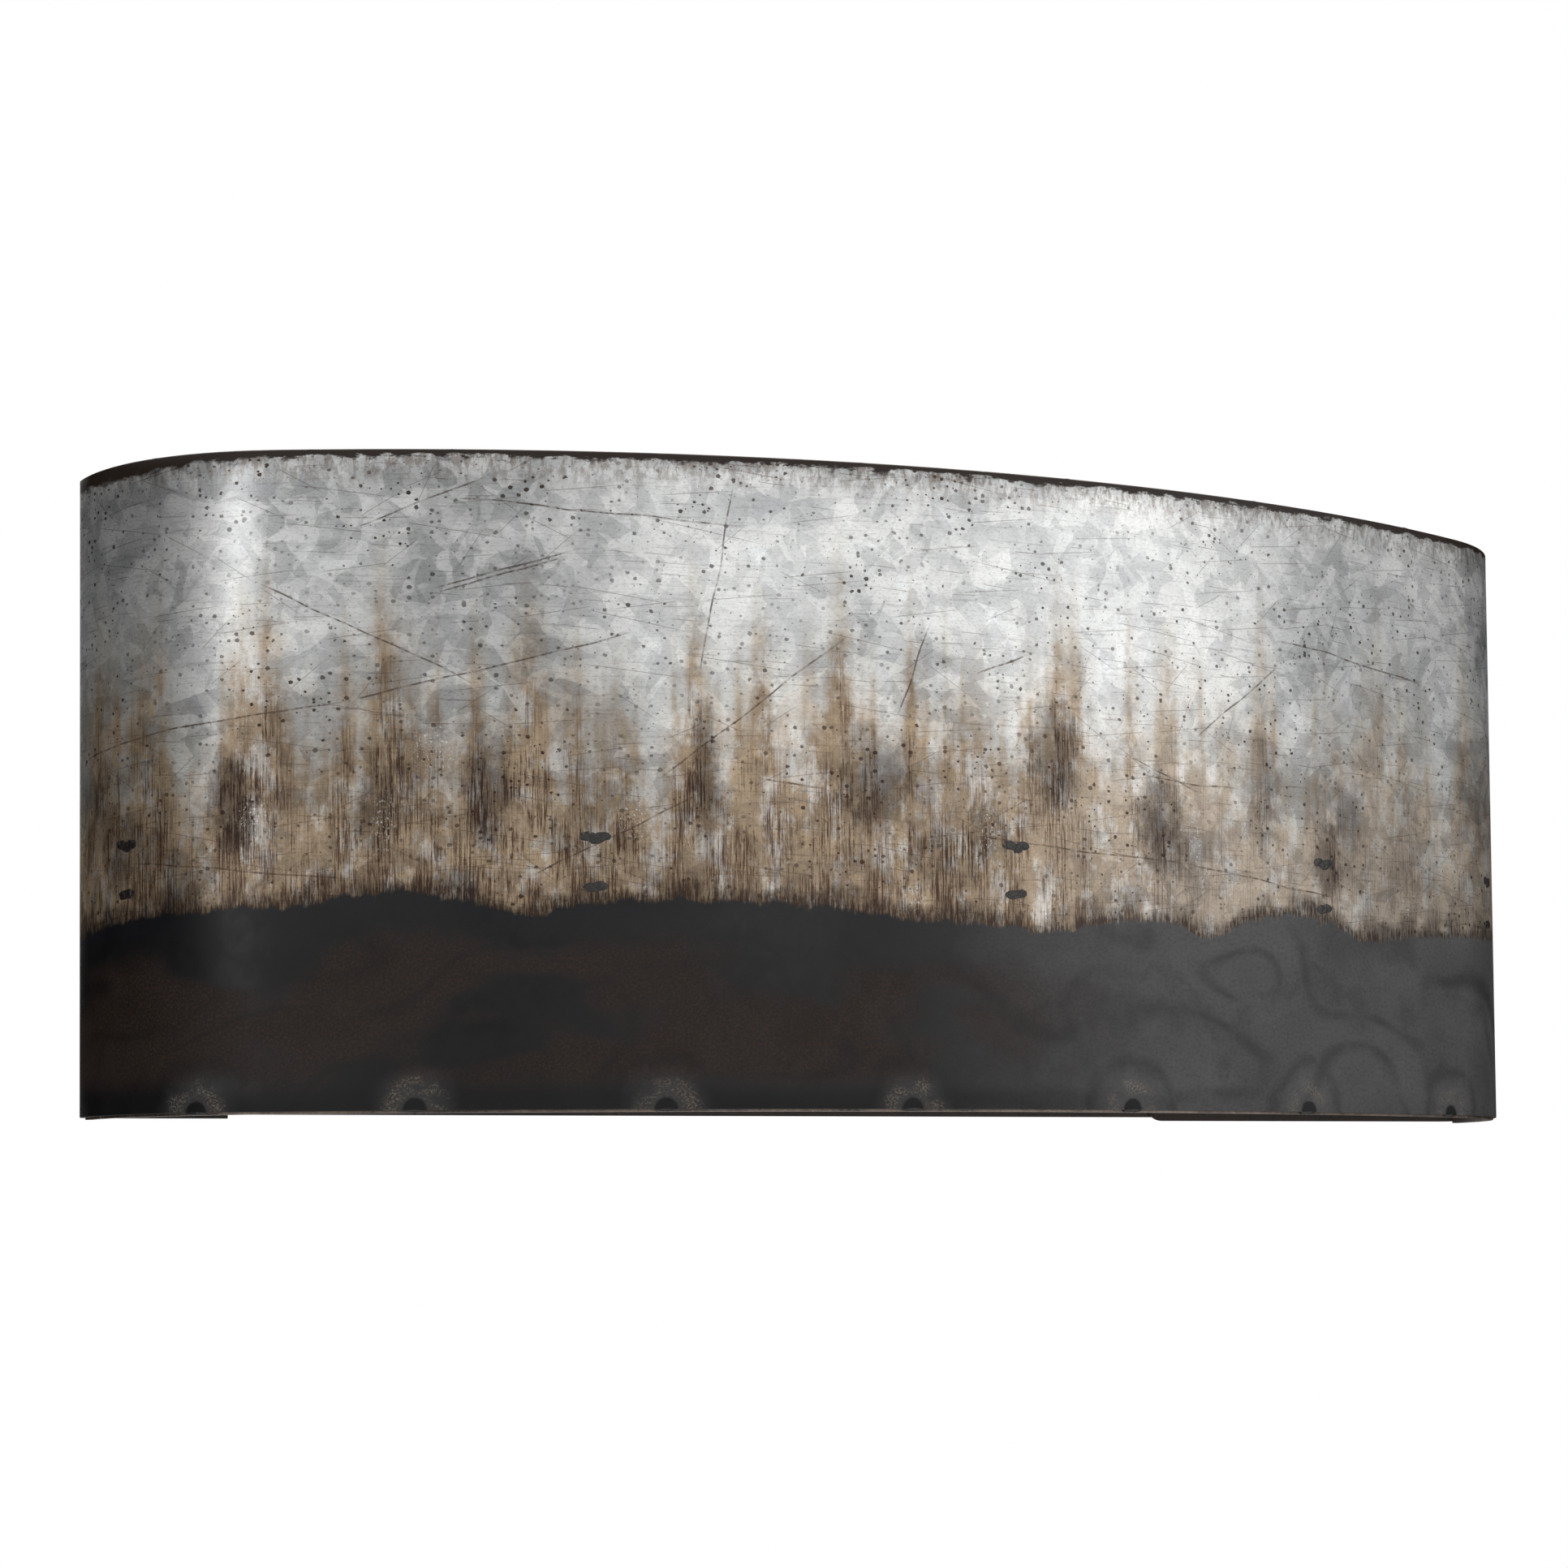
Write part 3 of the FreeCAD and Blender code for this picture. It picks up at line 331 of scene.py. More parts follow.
def build_zinc(w, given):
    """Galvanised sheet: leaf-shaped spangle, cloudy bloom and small dark specks."""
    place = given["Place"]
    warp = w.add("ShaderNodeTexNoise", {"Vector": w.scaled(place, 5, 5, 5), "Scale": 1.0, "Detail": 1.0})
    bent = w.nudged(place, warp, (2.2, 2.2, 0))
    leaves = []
    for turn, size in ((0.5, (3.6, 9, 8)), (-0.8, (2.8, 6.5, 8)), (1.4, (5, 12, 8))):
        turned = w.add("ShaderNodeVectorRotate", {"Vector": bent, "Angle": turn}, rotation_type="Z_AXIS")
        leaves.append(w.split(w.cells(turned.outputs[0], size).outputs["Color"])[0])
    leaf = w.times(w.plus(*leaves), 1 / 3)
    cloud = w.noise(place, (46, 34, 40), 3, 0.55)
    tone = w.plus(w.times(w.fade(leaf, 0.2, 0.8), 0.5), w.times(w.fade(cloud, 0.3, 0.7), 0.5))
    colour = w.mix(tone, given["Dark"], given["Light"])
    bloom = w.times(w.blots(0.55, 0.75, place, (13, 15, 14), 4, 0.6), 0.35)
    colour = w.mix(bloom, colour, given["Bloom"])
    crowd = w.blots(0.3, 0.7, place, (26, 22, 20), 2)
    fine = w.use(speck_group, Place=w.scaled(place, 1.8, 1.5, 1.7), Size=0.3, Share=0.98)["Mask"]
    bold = w.use(speck_group, Place=w.scaled(place, 4.0, 3.6, 3.8), Size=0.11, Share=0.5)["Mask"]
    spots = w.most(w.times(fine, w.plus(w.times(crowd, 0.75), 0.4)), bold)
    grime = w.blots(0.48, 0.7, place, (1.0, 0.6, 0.8), 4, 0.85)
    drawn = w.blots(0.52, 0.7, place, (22, 0.7, 10), 4, 0.75)
    colour = w.mix(w.plus(w.times(grime, 0.36), w.times(drawn, 0.26)), colour, given["Speck"])
    colour = w.mix(w.times(spots, 0.85), colour, given["Speck"])
    return {"Colour": colour, "Spots": spots, "Tone": tone}


zinc_group = shader_group(
    "Zinc spangle", coloured("Dark", "Light", "Bloom", "Speck"),
    {"Colour": "colour", "Spots": "value", "Tone": "value"}, build_zinc)

# where the heat stains lie: distance round from the front, height, half width, half height, strength
STAINS = (
    (-178, 71, 5, 10, 1.0), (-145, 69, 4.5, 9, 0.8), (-134, 82, 7, 8, 0.5), (-119, 73, 5, 11, 0.9),
    (-160, 84, 16, 12, 0.3), (-212, 62, 5, 8, 0.5), (-69, 78, 2.4, 14, 0.9), (-69, 72, 5, 7, 0.5),
    (-96, 62, 8, 6, 0.4), (-27, 77, 7, 10, 0.8), (1, 65, 5, 6, 0.6), (-8, 58, 9, 7, 0.35),
    (20, 85, 6, 11, 0.75), (51, 70, 6, 10, 0.9), (60, 64, 6, 7, 0.4), (84, 82, 5, 12, 0.5),
    (108, 63, 4.5, 8, 1.0), (116, 73, 4, 9, 0.6), (140, 66, 7, 12, 0.3), (196, 70, 10, 30, 0.4),
)
FLECKS = ((-135, 149.5, 3.2, 1.1), (-143, 66, 3, 7), (-131, 83, 6, 6), (-173, 68, 4, 4), (2, 66, 3, 6),
          (62, 66, 2, 6), (-85, 67, 5, 5), (-18, 48, 3, 4))
# long scratches: start and end, each a distance round and a height
SCRATCHES = (
    ((-228, 84), (-150, 94)), ((-150, 94), (-84, 110)), ((-133, 119), (-97, 130)),
    ((-131, 118.4), (-99, 128.6)), ((-80, 76), (-33, 112)), ((-126, 141), (-58, 135)),
    ((-70, 100), (-61, 146)), ((42, 86), (65, 78)), ((45, 82), (78, 79)), ((62, 91), (92, 112)),
    ((-1, 103), (15, 110)), ((-57, 77), (-38, 75)), ((-2, 65), (60, 60)), ((60, 60), (112, 54)),
    ((-22, 92), (-12, 116)), ((-172, 121), (-122, 98)), ((-110, 54), (-69, 73)),
    ((-150, 134), (-118, 146)), ((-205, 58), (-150, 53)), ((90, 118), (150, 112)),
)
# the upper edge of the darkened zone, from left to right
CHAR_LINE = ((-231, 43), (-200, 45.5), (-165, 47), (-140, 50), (-122, 47.5), (-111, 45), (-96, 47.5),
             (-60, 48), (-40, 47), (-18, 44.5), (8, 43.4), (22, 42.6), (36, 45.6), (55, 45), (66, 42),
             (76, 46), (92, 48.6), (108, 48), (122, 43.4), (142, 45.4), (180, 47), (231, 46))
# millimetres that the unit square of the curve node stands for
CURVE_WIDE, CURVE_HIGH = 500, 100.0
# how far the inner face's pattern lies from the outer face's
INNER_SHIFT = 90.0


def oval(w, run, height, across, level, wide, high):
    """Squared distance from a spot on the sheet, 1 on an oval of the given half sizes."""
    dx = w.over(w.minus(run, float(across)), float(wide))
    dy = w.over(w.minus(height, float(level)), float(high))
    return w.plus(w.times(dx, dx), w.times(dy, dy))


def build_stains(w, given):
    """Soft upright blots at the listed places."""
    run, height, _ = w.split(given["Place"])
    ripple = w.times(w.minus(w.noise(given["Place"], (2.6, 5, 5), 5, 0.75), 0.5), 5.0)
    total = 0.0
    for *spot, strength in STAINS:
        away = w.plus(oval(w, run, height, *spot), ripple)
        total = w.most(total, w.times(w.fade(away, 2.4, 0.0), strength))
    return {"Mask": total}


stain_group = shader_group("Heat stains", coloured(), {"Mask": "value"}, build_stains)


def build_flecks(w, given):
    """Small pale flakes at the listed places."""
    run, height, _ = w.split(given["Place"])
    total = 0.0
    for spot in FLECKS:
        total = w.most(total, w.fade(oval(w, run, height, *spot), 1.5, 0.2))
    flakes = w.blots(0.56, 0.66, given["Place"], (0.6, 0.8, 0.7), 3, 0.8)
    return {"Mask": w.times(total, flakes)}


fleck_group = shader_group("Pale flecks", coloured(), {"Mask": "value"}, build_flecks)


def build_scratches(w, given):
    """The long single scratches, as thin broken lines, and short ones in several directions."""
    place = given["Place"]
    wander = w.add("ShaderNodeTexNoise",
                   {"Vector": w.scaled(place, 22, 22, 22), "Scale": 1.0, "Detail": 1.0})
    bent = w.nudged(place, wander, (2.5, 2.5, 0))
    total = 0.0
    for start, end in SCRATCHES:
        reach = Vector(end) - Vector(start)
        from_start = w.add("ShaderNodeVectorMath", {0: bent, 1: (start[0] + 1.2, start[1] + 1.2, 0)},
                           operation="SUBTRACT").outputs[0]
        way = reach.normalized()
        along = w.add("ShaderNodeVectorMath", {0: from_start, 1: (way.x, way.y, 0)},
                      operation="DOT_PRODUCT").outputs["Value"]
        across = w.add("ShaderNodeVectorMath", {0: from_start, 1: (-way.y, way.x, 0)},
                       operation="DOT_PRODUCT").outputs["Value"]
        line = w.fade(w.sums("ABSOLUTE", across), 0.3, 0.1)
        line = w.times(line, w.fade(along, 0.0, 4.0), w.fade(along, reach.length, reach.length - 6))
        total = w.most(total, line)
    broken = w.plus(w.times(w.blots(0.38, 0.6, place, (3, 3, 3), 3, 0.7), 0.7), 0.3)
    total = w.times(total, broken)
    for angle, length, spacing, share in ((0.16, 30, 5, 0.22), (-0.12, 22, 4, 0.24), (0.5, 14, 9, 0.14),
                                          (-0.6, 12, 10, 0.12), (0.02, 9, 3, 0.2), (2.2, 13, 14, 0.1)):
        short = w.use(hatch_group, Place=place, Angle=angle, Length=float(length), Spacing=float(spacing),
                      Width=0.14, Share=share)["Mask"]
        total = w.most(total, w.times(short, 0.5))
    return {"Mask": total}


scratch_group = shader_group("Scratches", coloured(), {"Mask": "value"}, build_scratches)


def build_heat(w, given):
    """Distance from the nearest tack weld on the lower edge, with a slightly ragged reading."""
    run, height, _ = w.split(given["Place"])
    nearest = 999.0
    for tack in BOTTOM_TACKS:
        away = w.combine(w.minus(run, float(tack)), height)
        length = w.add("ShaderNodeVectorMath", {0: away}, operation="LENGTH").outputs["Value"]
        nearest = w.least(nearest, length)
    ragged = w.minus(w.noise(given["Place"], (13, 13, 13), 4, 0.65), 0.5)
    return {"Distance": w.plus(nearest, w.times(ragged, w.least(w.times(nearest, 0.8), 26.0)))}


heat_group = shader_group("Weld heat", coloured(), {"Distance": "value"}, build_heat)


def build_char(w, given):
    """The darkened lower zone: its mask, the brown fringe above it and its own colour."""
    place = given["Place"]
    run, height, _ = w.split(place)
    curve = w.add("ShaderNodeFloatCurve", {"Value": w.plus(w.times(run, 1 / CURVE_WIDE), 0.5)})
    points = curve.mapping.curves[0].points
    line_points = [(x / CURVE_WIDE + 0.5, y / CURVE_HIGH) for x, y in CHAR_LINE]
    for spot in line_points[1:-1]:
        points.new(*spot)
    points[0].location, points[-1].location = line_points[0], line_points[-1]
    curve.mapping.update()
    fine = w.minus(w.noise(place, (1.5, 4, 4), 4, 0.75), 0.5)
    lumps = w.minus(w.noise(place, (6, 12, 9), 2, 0.5), 0.5)
    line = w.plus(w.times(curve.outputs[0], CURVE_HIGH), w.times(fine, 2.6), w.times(lumps, 4.5))
    below = w.minus(line, height)
    mask = w.fade(below, -0.7, 0.7)
    grass = w.blots(0.4, 0.6, place, (0.7, 6, 6), 4, 0.75)
    tufts = w.blots(0.3, 0.65, place, (11, 7, 9), 2)
    fringe = w.times(w.fade(below, w.plus(-3.0, w.times(tufts, -7.0)), 0.2),
                     w.plus(0.55, w.times(grass, 0.6)))
    distance = w.use(heat_group, Place=place)["Distance"]
    far_right = w.fade(run, -30.0, 70.0)
    colour = w.mix(w.fade(below, 16.0, 1.0), given["Deep"], given["Blue"])
    grey = w.blots(0.3, 0.7, place, (40, 30, 30), 3, 0.6)
    colour = w.mix(w.times(far_right, w.plus(0.55, w.times(grey, 0.4))), colour, given["Grey"])
    flow = w.noise(place, (74, 44, 50), 1, 0.45)
    lobes = w.most(w.band(flow, 0.46, 0.035), w.band(flow, 0.58, 0.025))
    lift = w.times(w.fade(flow, 0.46, 0.53), w.plus(0.03, w.times(far_right, 0.37)))
    colour = w.mix(lift, colour, given["Grey"])
    patch = w.blots(0.4, 0.54, place, (44, 24, 30), 2, 0.5)
    patch = w.times(patch, w.fade(below, 5.0, 14.0), w.fade(height, 3.0, 10.0),
                    w.plus(w.inverse(far_right), 0.12))
    crumbs = w.plus(0.2, w.times(w.blots(0.42, 0.66, place, (0.7, 0.7, 0.7), 4, 0.8), 0.8))
    colour = w.mix(w.times(patch, crumbs), colour, given["Brown"])
    arcs = w.most(w.times(w.band(distance, 33.0, 4.0), 0.5), w.times(w.band(distance, 12.0, 3.0), 0.8))
    arcs = w.times(arcs, w.blots(0.3, 0.5, place, (18, 12, 14), 3))
    arcs = w.most(arcs, w.times(lobes, w.blots(0.35, 0.6, place, (20, 20, 20), 3)))
    colour = w.mix(w.times(arcs, 0.5), colour, given["Deep"])
    soot = w.blots(0.4, 0.68, place, (1.2, 0.9, 1.0), 5, 0.85)
    colour = w.mix(w.times(soot, 0.4), colour, given["Deep"])
    ring = w.times(w.band(distance, 5.6, 3.4), w.blots(0.46, 0.62, place, (0.6, 0.6, 0.6), 4, 0.8),
                   w.blots(0.36, 0.6, place, (5, 4, 4), 3))
    dusty = w.times(w.fade(distance, 12.0, 3.0), 0.34)
    colour = w.mix(dusty, colour, given["Grey"])
    colour = w.mix(w.times(ring, 0.75), colour, given["Ash"])
    colour = w.mix(w.fade(distance, 3.1, 2.3), colour, given["Soot"])
    return {"Mask": mask, "Fringe": fringe, "Colour": colour, "Patch": patch}


char_group = shader_group(
    "Char zone", coloured("Deep", "Blue", "Grey", "Brown", "Ash", "Soot"),
    {"Mask": "value", "Fringe": "value", "Colour": "colour", "Patch": "value"}, build_char)


def build_wash(w, given):
    """Warm stain that climbs in tongues from the dark zone, and its fine upright brown lines."""
    place = given["Place"]
    run, height, _ = w.split(place)
    tongues = w.noise(w.combine(run, 0.0), (15, 9, 9), 3, 0.6)
    reach = w.plus(68.0, w.times(w.fade(tongues, 0.32, 0.68), 46.0))
    climb = w.fade(w.minus(reach, height), -30.0, 26.0)
    patchy = w.plus(0.4, w.blots(0.36, 0.6, place, (7, 14, 12), 5, 0.75))
    bare = w.fade(run, 70.0, -10.0)
    wash = w.times(w.least(w.times(climb, patchy), 1.0), w.plus(0.75, w.times(bare, 0.25)))
    lines = w.blots(0.42, 0.6, place, (0.4, 14, 12), 4, 0.8)
    low = w.fade(w.minus(reach, height), -8.0, 34.0)
    streaky = w.blots(0.4, 0.58, place, (6, 16, 14), 5, 0.7)
    lines = w.times(lines, low, w.plus(0.2, streaky), w.plus(0.4, w.times(bare, 0.6)))
    return {"Wash": wash, "Lines": lines}


wash_group = shader_group("Stain wash", coloured(), {"Wash": "value", "Lines": "value"},
                          build_wash)


def build_burn_and_end_shade(w, given):
    """Brown-black burnish along the upper edge, deepest at the left end, where the extra depth is partly the
    sheet's own darker end and partly painted shade.
    """
    place = given["Place"]
    run, height, _ = w.split(place)
    ragged = w.noise(place, (7, 3, 5), 4, 0.7)
    # The widening towards the left end is partly real darkening of that end and partly painted shade.
    wide = w.plus(1.0, w.times(w.fade(ragged, 0.35, 0.7), 2.4), w.times(w.fade(run, -165.0, -215.0), 3.0))
    below = w.minus(given["Top"], height)
    burn_and_end_shade = w.fade(below, wide, w.times(wide, 0.55))
    soft = w.times(w.fade(below, 11.0, 1.5), w.blots(0.42, 0.62, place, (1.6, 4, 3), 3, 0.7))
    return {"Burn": burn_and_end_shade, "Soft": soft}


burn_and_end_shade_group = shader_group("Edge burn", {"Place": ("place", None), "Top": ("value", 152.0)},
                          {"Burn": "value", "Soft": "value"}, build_burn_and_end_shade)


# ---------------------------------------------------------------- materials


def new_material(name, **settings):
    material = bpy.data.materials.new(name)
    material.use_nodes = True
    shader = material.node_tree.nodes["Principled BSDF"]
    for socket, value in settings.items():
        shader.inputs[socket.replace("_", " ")].default_value = value
    return material, Wiring(material.node_tree), shader


def object_place(w):
    """Object coordinates in millimetres."""
    place = w.add("ShaderNodeTexCoord").outputs["Object"]
    return w.scaled(place, MM, MM, MM)


def add_bump(w, shader, height, depth):
    """Relief of a depth in millimetres."""
    bump = w.add("ShaderNodeBump", {"Height": height, "Distance": depth * MM, "Strength": 1.0})
    w.feed(shader.inputs["Normal"], bump.outputs[0])


def galvanised_sheet():
    material, w, shader = new_material("galvanised_sheet", Specular_IOR_Level=0.2)
    place = w.add("ShaderNodeAttribute", attribute_name="on_sheet").outputs["Vector"]
    run, height, inward = w.split(place)
    flat = w.combine(run, height, w.times(inward, INNER_SHIFT))
    zinc = w.use(zinc_group, Place=flat, Dark=paint(145, 147, 148), Light=paint(216, 217, 215),
                 Bloom=paint(232, 236, 238), Speck=paint(50, 40, 33))
    wash = w.use(wash_group, Place=flat)
    stains = w.use(stain_group, Place=flat)["Mask"]
    flecks = w.use(fleck_group, Place=flat)["Mask"]
    scratches = w.use(scratch_group, Place=flat)["Mask"]
    char = w.use(char_group, Place=flat, Deep=paint(14, 13, 13), Blue=paint(18, 19, 22),
                 Grey=paint(92, 91, 92), Brown=paint(52, 37, 29), Ash=paint(140, 128, 112),
                 Soot=paint(13, 12, 12))
    burn_and_end_shade = w.use(burn_and_end_shade_group, Place=flat)
    colour = w.mix(w.times(wash["Wash"], 0.9), zinc["Colour"], paint(208, 178, 142), "MULTIPLY")
    colour = w.mix(w.least(wash["Lines"], 0.92), colour, paint(64, 37, 21))
    stained = w.times(stains, w.plus(0.6, wash["Lines"], w.times(zinc["Spots"], 0.5)))
    colour = w.mix(w.least(stained, 0.95), colour, paint(45, 26, 17))
    colour = w.mix(w.times(scratches, 0.85), colour, paint(70, 54, 43))
    colour = w.mix(w.times(flecks, 0.7), colour, paint(226, 224, 220))
    colour = w.mix(w.least(char["Fringe"], 0.95), colour, paint(44, 31, 24))
    colour = w.mix(char["Mask"], colour, char["Colour"])
    colour = w.mix(w.times(burn_and_end_shade["Soft"], 0.6), colour, paint(92, 72, 56))
    # Brown-black top-edge burnish, with painted shade in its widening at the left end.
    colour = w.mix(burn_and_end_shade["Burn"], colour, paint(42, 33, 28))
    inner = w.use(mottle_group, Place=flat, Dark=paint(27, 23, 21), Light=paint(58, 47, 40),
                  Speck=paint(92, 74, 60), Roughness=0.5)
    edge = w.fade(inward, 0.0, 0.1)
    colour = w.mix(edge, colour, paint(34, 29, 26))
    colour = w.mix(w.fade(inward, 0.9, 1.0), colour, inner["Colour"])
    dark = w.most(w.most(char["Mask"], burn_and_end_shade["Burn"]), edge)
    metal = w.times(w.inverse(dark), w.inverse(w.times(wash["Wash"], 0.3)),
                    w.inverse(w.times(stained, 0.6)), 0.6)
    rough = w.plus(0.31, w.times(zinc["Tone"], 0.12), w.times(wash["Wash"], 0.08), w.times(stained, 0.12),
                   w.times(char["Patch"], 0.14))
    w.feed(shader.inputs["Base Color"], colour)
    w.feed(shader.inputs["Metallic"], metal)
    w.feed(shader.inputs["Roughness"], rough)
    fine = w.noise(flat, (0.5, 0.9, 0.7), 2, 0.6)
    add_bump(w, shader, fine, 0.014)
    return material


def mottled(name, dark, light, speck, roughness, depth, settings):
    """A plated, lacquered, cast or glazed finish with clouds, grain and specks."""
    material, w, shader = new_material(name, **settings)
    mottle = w.use(mottle_group, Place=object_place(w), Dark=paint(*dark), Light=paint(*light),
                   Speck=paint(*speck), Roughness=roughness)
    w.feed(shader.inputs["Base Color"], mottle["Colour"])
    w.feed(shader.inputs["Roughness"], mottle["Roughness"])
    add_bump(w, shader, mottle["Height"], depth)
    return material


def brushed(name, dark, light, roughness):
    """Metal with fine drawn lines."""
    material, w, shader = new_material(name, Metallic=1.0)
    lines = w.use(brushing_group, Place=object_place(w))["Mask"]
    w.feed(shader.inputs["Base Color"], w.mix(lines, paint(*dark), paint(*light)))
    w.feed(shader.inputs["Roughness"], w.plus(roughness, w.times(lines, 0.15)))
    add_bump(w, shader, lines, 0.01)
    return material


def frosted(name, tint, roughness, transmission, bending):
    """Satin glass or acrylic with a faint cloud in the frosting."""
    material, w, shader = new_material(name, Transmission_Weight=transmission, IOR=bending)
    place = object_place(w)
    grain = w.noise(place, (0.4, 0.4, 0.4), 2, 0.6)
    cloud = w.noise(place, (20, 20, 20), 3, 0.5)
    w.feed(shader.inputs["Base Color"], w.mix(cloud, paint(*tint), paint(250, 250, 247)))
    w.feed(shader.inputs["Roughness"], w.plus(roughness, w.times(grain, 0.12)))
    add_bump(w, shader, grain, 0.01)
    return material


# dark, light and speck colours, roughness, depth of the relief in millimetres, and values of the shader
MOTTLED = {
    "rim_steel": ((46, 38, 33), (120, 106, 94), (158, 148, 138), 0.42, 0.02, {"Metallic": 0.5}),
    "weld_metal": ((12, 11, 10), (36, 31, 28), (96, 88, 80), 0.45, 0.1, {"Metallic": 0.2}),
    "clip_steel": ((40, 36, 33), (84, 78, 72), (120, 96, 74), 0.45, 0.02, {"Metallic": 0.6}),
    "plate_steel": ((36, 30, 27), (66, 55, 48), (96, 80, 68), 0.5, 0.02, {"Metallic": 0.2}),
    "dark_nut": ((34, 30, 28), (62, 55, 50), (110, 98, 86), 0.38, 0.02, {"Metallic": 0.7}),
    "green_screw": ((28, 96, 52), (52, 132, 78), (120, 160, 120), 0.38, 0.02, {"Metallic": 0.3}),
    "porcelain": ((226, 223, 214), (241, 239, 232), (176, 168, 156), 0.2, 0.006, {"Coat_Weight": 0.4}),
    "solder": ((140, 141, 144), (186, 187, 190), (110, 110, 112), 0.35, 0.05, {"Metallic": 0.9}),
    "black_glass": ((12, 12, 14), (26, 25, 27), (50, 48, 48), 0.15, 0.004, {}),
    "lead_sleeve": ((22, 22, 22), (40, 40, 41), (60, 60, 60), 0.55, 0.02, {}),
    "black_plastic": ((18, 18, 19), (34, 34, 35), (52, 52, 52), 0.45, 0.02, {}),
    "connector_plastic": ((196, 92, 26), (224, 122, 44), (238, 160, 92), 0.4, 0.02, {}),
}
# dark and light colours and roughness
BRUSHED = {
    "zinc_hardware": ((150, 152, 156), (204, 206, 208), 0.28),
    "brass": ((176, 140, 72), (222, 190, 116), 0.25),
    "lamp_cap_metal": ((176, 176, 178), (218, 218, 220), 0.22),
}
FINISHES = {
    "galvanised_sheet": galvanised_sheet(),
    "frosted_panel": frosted("frosted_panel", (236, 236, 232), 0.5, 0.35, 1.49),
    "frosted_glass": frosted("frosted_glass", (240, 240, 236), 0.38, 0.45, 1.5),
    **{name: mottled(name, *look) for name, look in MOTTLED.items()},
    **{name: brushed(name, *look) for name, look in BRUSHED.items()},
}
NODE_FINISHES = {
    "rim_steel": ("top_rim_strap", "bottom_rim_strap"),
    "frosted_panel": ("diffuser_panel",),
    "plate_steel": ("back_plate", "wiring_pan"),
    "zinc_hardware": ("pan_rivets", "crossbar", "lampholder_bracket"),
    "black_plastic": ("wire_bushing",),
    "porcelain": ("lampholder_left", "lampholder_right"),
    "brass": ("centre_contact_left", "centre_contact_right"),
    "solder": ("lamp_contact_left", "lamp_contact_right"),
    "black_glass": ("lamp_insulator_left", "lamp_insulator_right"),
    "lead_sleeve": ("lamp_lead_left", "lamp_lead_right"),
}
for finish, names in NODE_FINISHES.items():
    for node_name in names:
        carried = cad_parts[node_name].data
        carried.materials.clear()
        carried.materials.append(FINISHES[finish])


# ---------------------------------------------------------------- mesh helpers


def piece(name, mesh, body, finish, *replaced):
    """Puts a finished mesh in the scene, on its body, with its finish and the nodes it stands for."""
    if not mesh.materials:
        mesh.materials.append(FINISHES[finish])
    shown = bpy.data.objects.new(name, mesh)
    bpy.context.scene.collection.objects.link(shown)
    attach(shown, body)
    if replaced:
        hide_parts(*replaced)
    return shown


@contextmanager
def edited(mesh):
    """The mesh opened for editing and put back afterwards."""
    shape = bmesh.new()
    shape.from_mesh(mesh)
    yield shape
    shape.to_mesh(mesh)
    shape.free()


def smoothed(mesh, smooth=True):
    """The mesh with all its faces shaded smooth, or all flat."""
    for face in mesh.polygons:
        face.use_smooth = smooth
    return mesh


def mesh_of(name, points, faces, smooth=True):
    """A mesh from points in millimetres."""
    mesh = bpy.data.meshes.new(name)
    mesh.from_pydata([Vector(point) * MM for point in points], [], faces)
    mesh.update()
    return smoothed(mesh, smooth)


def sharpen(mesh, degrees=35):
    """Marks the edges that turn by more than an angle as sharp."""
    with edited(mesh) as shape:
        for edge in shape.edges:
            if len(edge.link_faces) == 2 and edge.calc_face_angle() > math.radians(degrees):
                edge.smooth = False
    return mesh


def lathe(profile, start, along, steps=72, radius_at=None):
    """Points and faces of a closed profile turned round an axis.

    The profile's points are (distance along the axis, radius); radius_at may change the radius by angle.
    """
    turn = Vector((0, 0, 1)).rotation_difference(Vector(along))
    points, faces = [], []
    for step in range(steps):
        angle = 2 * math.pi * step / steps
        for distance, radius in profile:
            reach = radius_at(radius, angle, distance) if radius_at else radius
            spot = Vector((reach * math.cos(angle), reach * math.sin(angle), distance))
            points.append(Vector(start) + turn @ spot)
    count = len(profile)
    for step in range(steps):
        following = (step + 1) % steps
        for i in range(count):
            j = (i + 1) % count
            faces.append((step * count + i, following * count + i, following * count + j, step * count + j))
    return points, faces


def joined(name, parts):
    """One mesh from several lists of points and faces, with doubles merged and normals outward."""
    points, faces = [], []
    for part_points, part_faces in parts:
        first = len(points)
        points += part_points
        faces += [tuple(first + i for i in face) for face in part_faces]
    mesh = mesh_of(name, points, faces)
    with edited(mesh) as shape:
        bmesh.ops.remove_doubles(shape, verts=shape.verts, dist=MERGE_WITHIN * MM)
        flat = [face for face in shape.faces if face.calc_area() < NO_AREA]
        bmesh.ops.delete(shape, geom=flat, context="FACES_ONLY")
        bare = [edge for edge in shape.edges if not edge.link_faces]
        bmesh.ops.delete(shape, geom=bare, context="EDGES")
        bmesh.ops.recalc_face_normals(shape, faces=shape.faces)
    return sharpen(smoothed(mesh))


# ---------------------------------------------------------------- geometry node trees


def node_tree(name, inputs):
    """An empty geometry tree with a geometry socket each way, named inputs and one for its material."""
    tree = bpy.data.node_groups.new(name, "GeometryNodeTree")
    tree.interface.new_socket("Geometry", in_out="INPUT", socket_type="NodeSocketGeometry")
    for socket, kind in (*inputs.items(), ("Material", "NodeSocketMaterial")):
        tree.interface.new_socket(socket, in_out="INPUT", socket_type=kind)
    tree.interface.new_socket("Geometry", in_out="OUTPUT", socket_type="NodeSocketGeometry")
    return tree, Wiring(tree), tree.nodes.new("NodeGroupInput").outputs


def close_tree(w, given, geometry):
    """Ends a tree with real geometry that carries its material."""
    real = w.add("GeometryNodeRealizeInstances", {"Geometry": geometry}).outputs[0]
    dressed = w.add("GeometryNodeSetMaterial", {"Geometry": real, "Material": given["Material"]}).outputs[0]
    w.feed(w.tree.nodes.new("NodeGroupOutput").inputs[0], dressed)


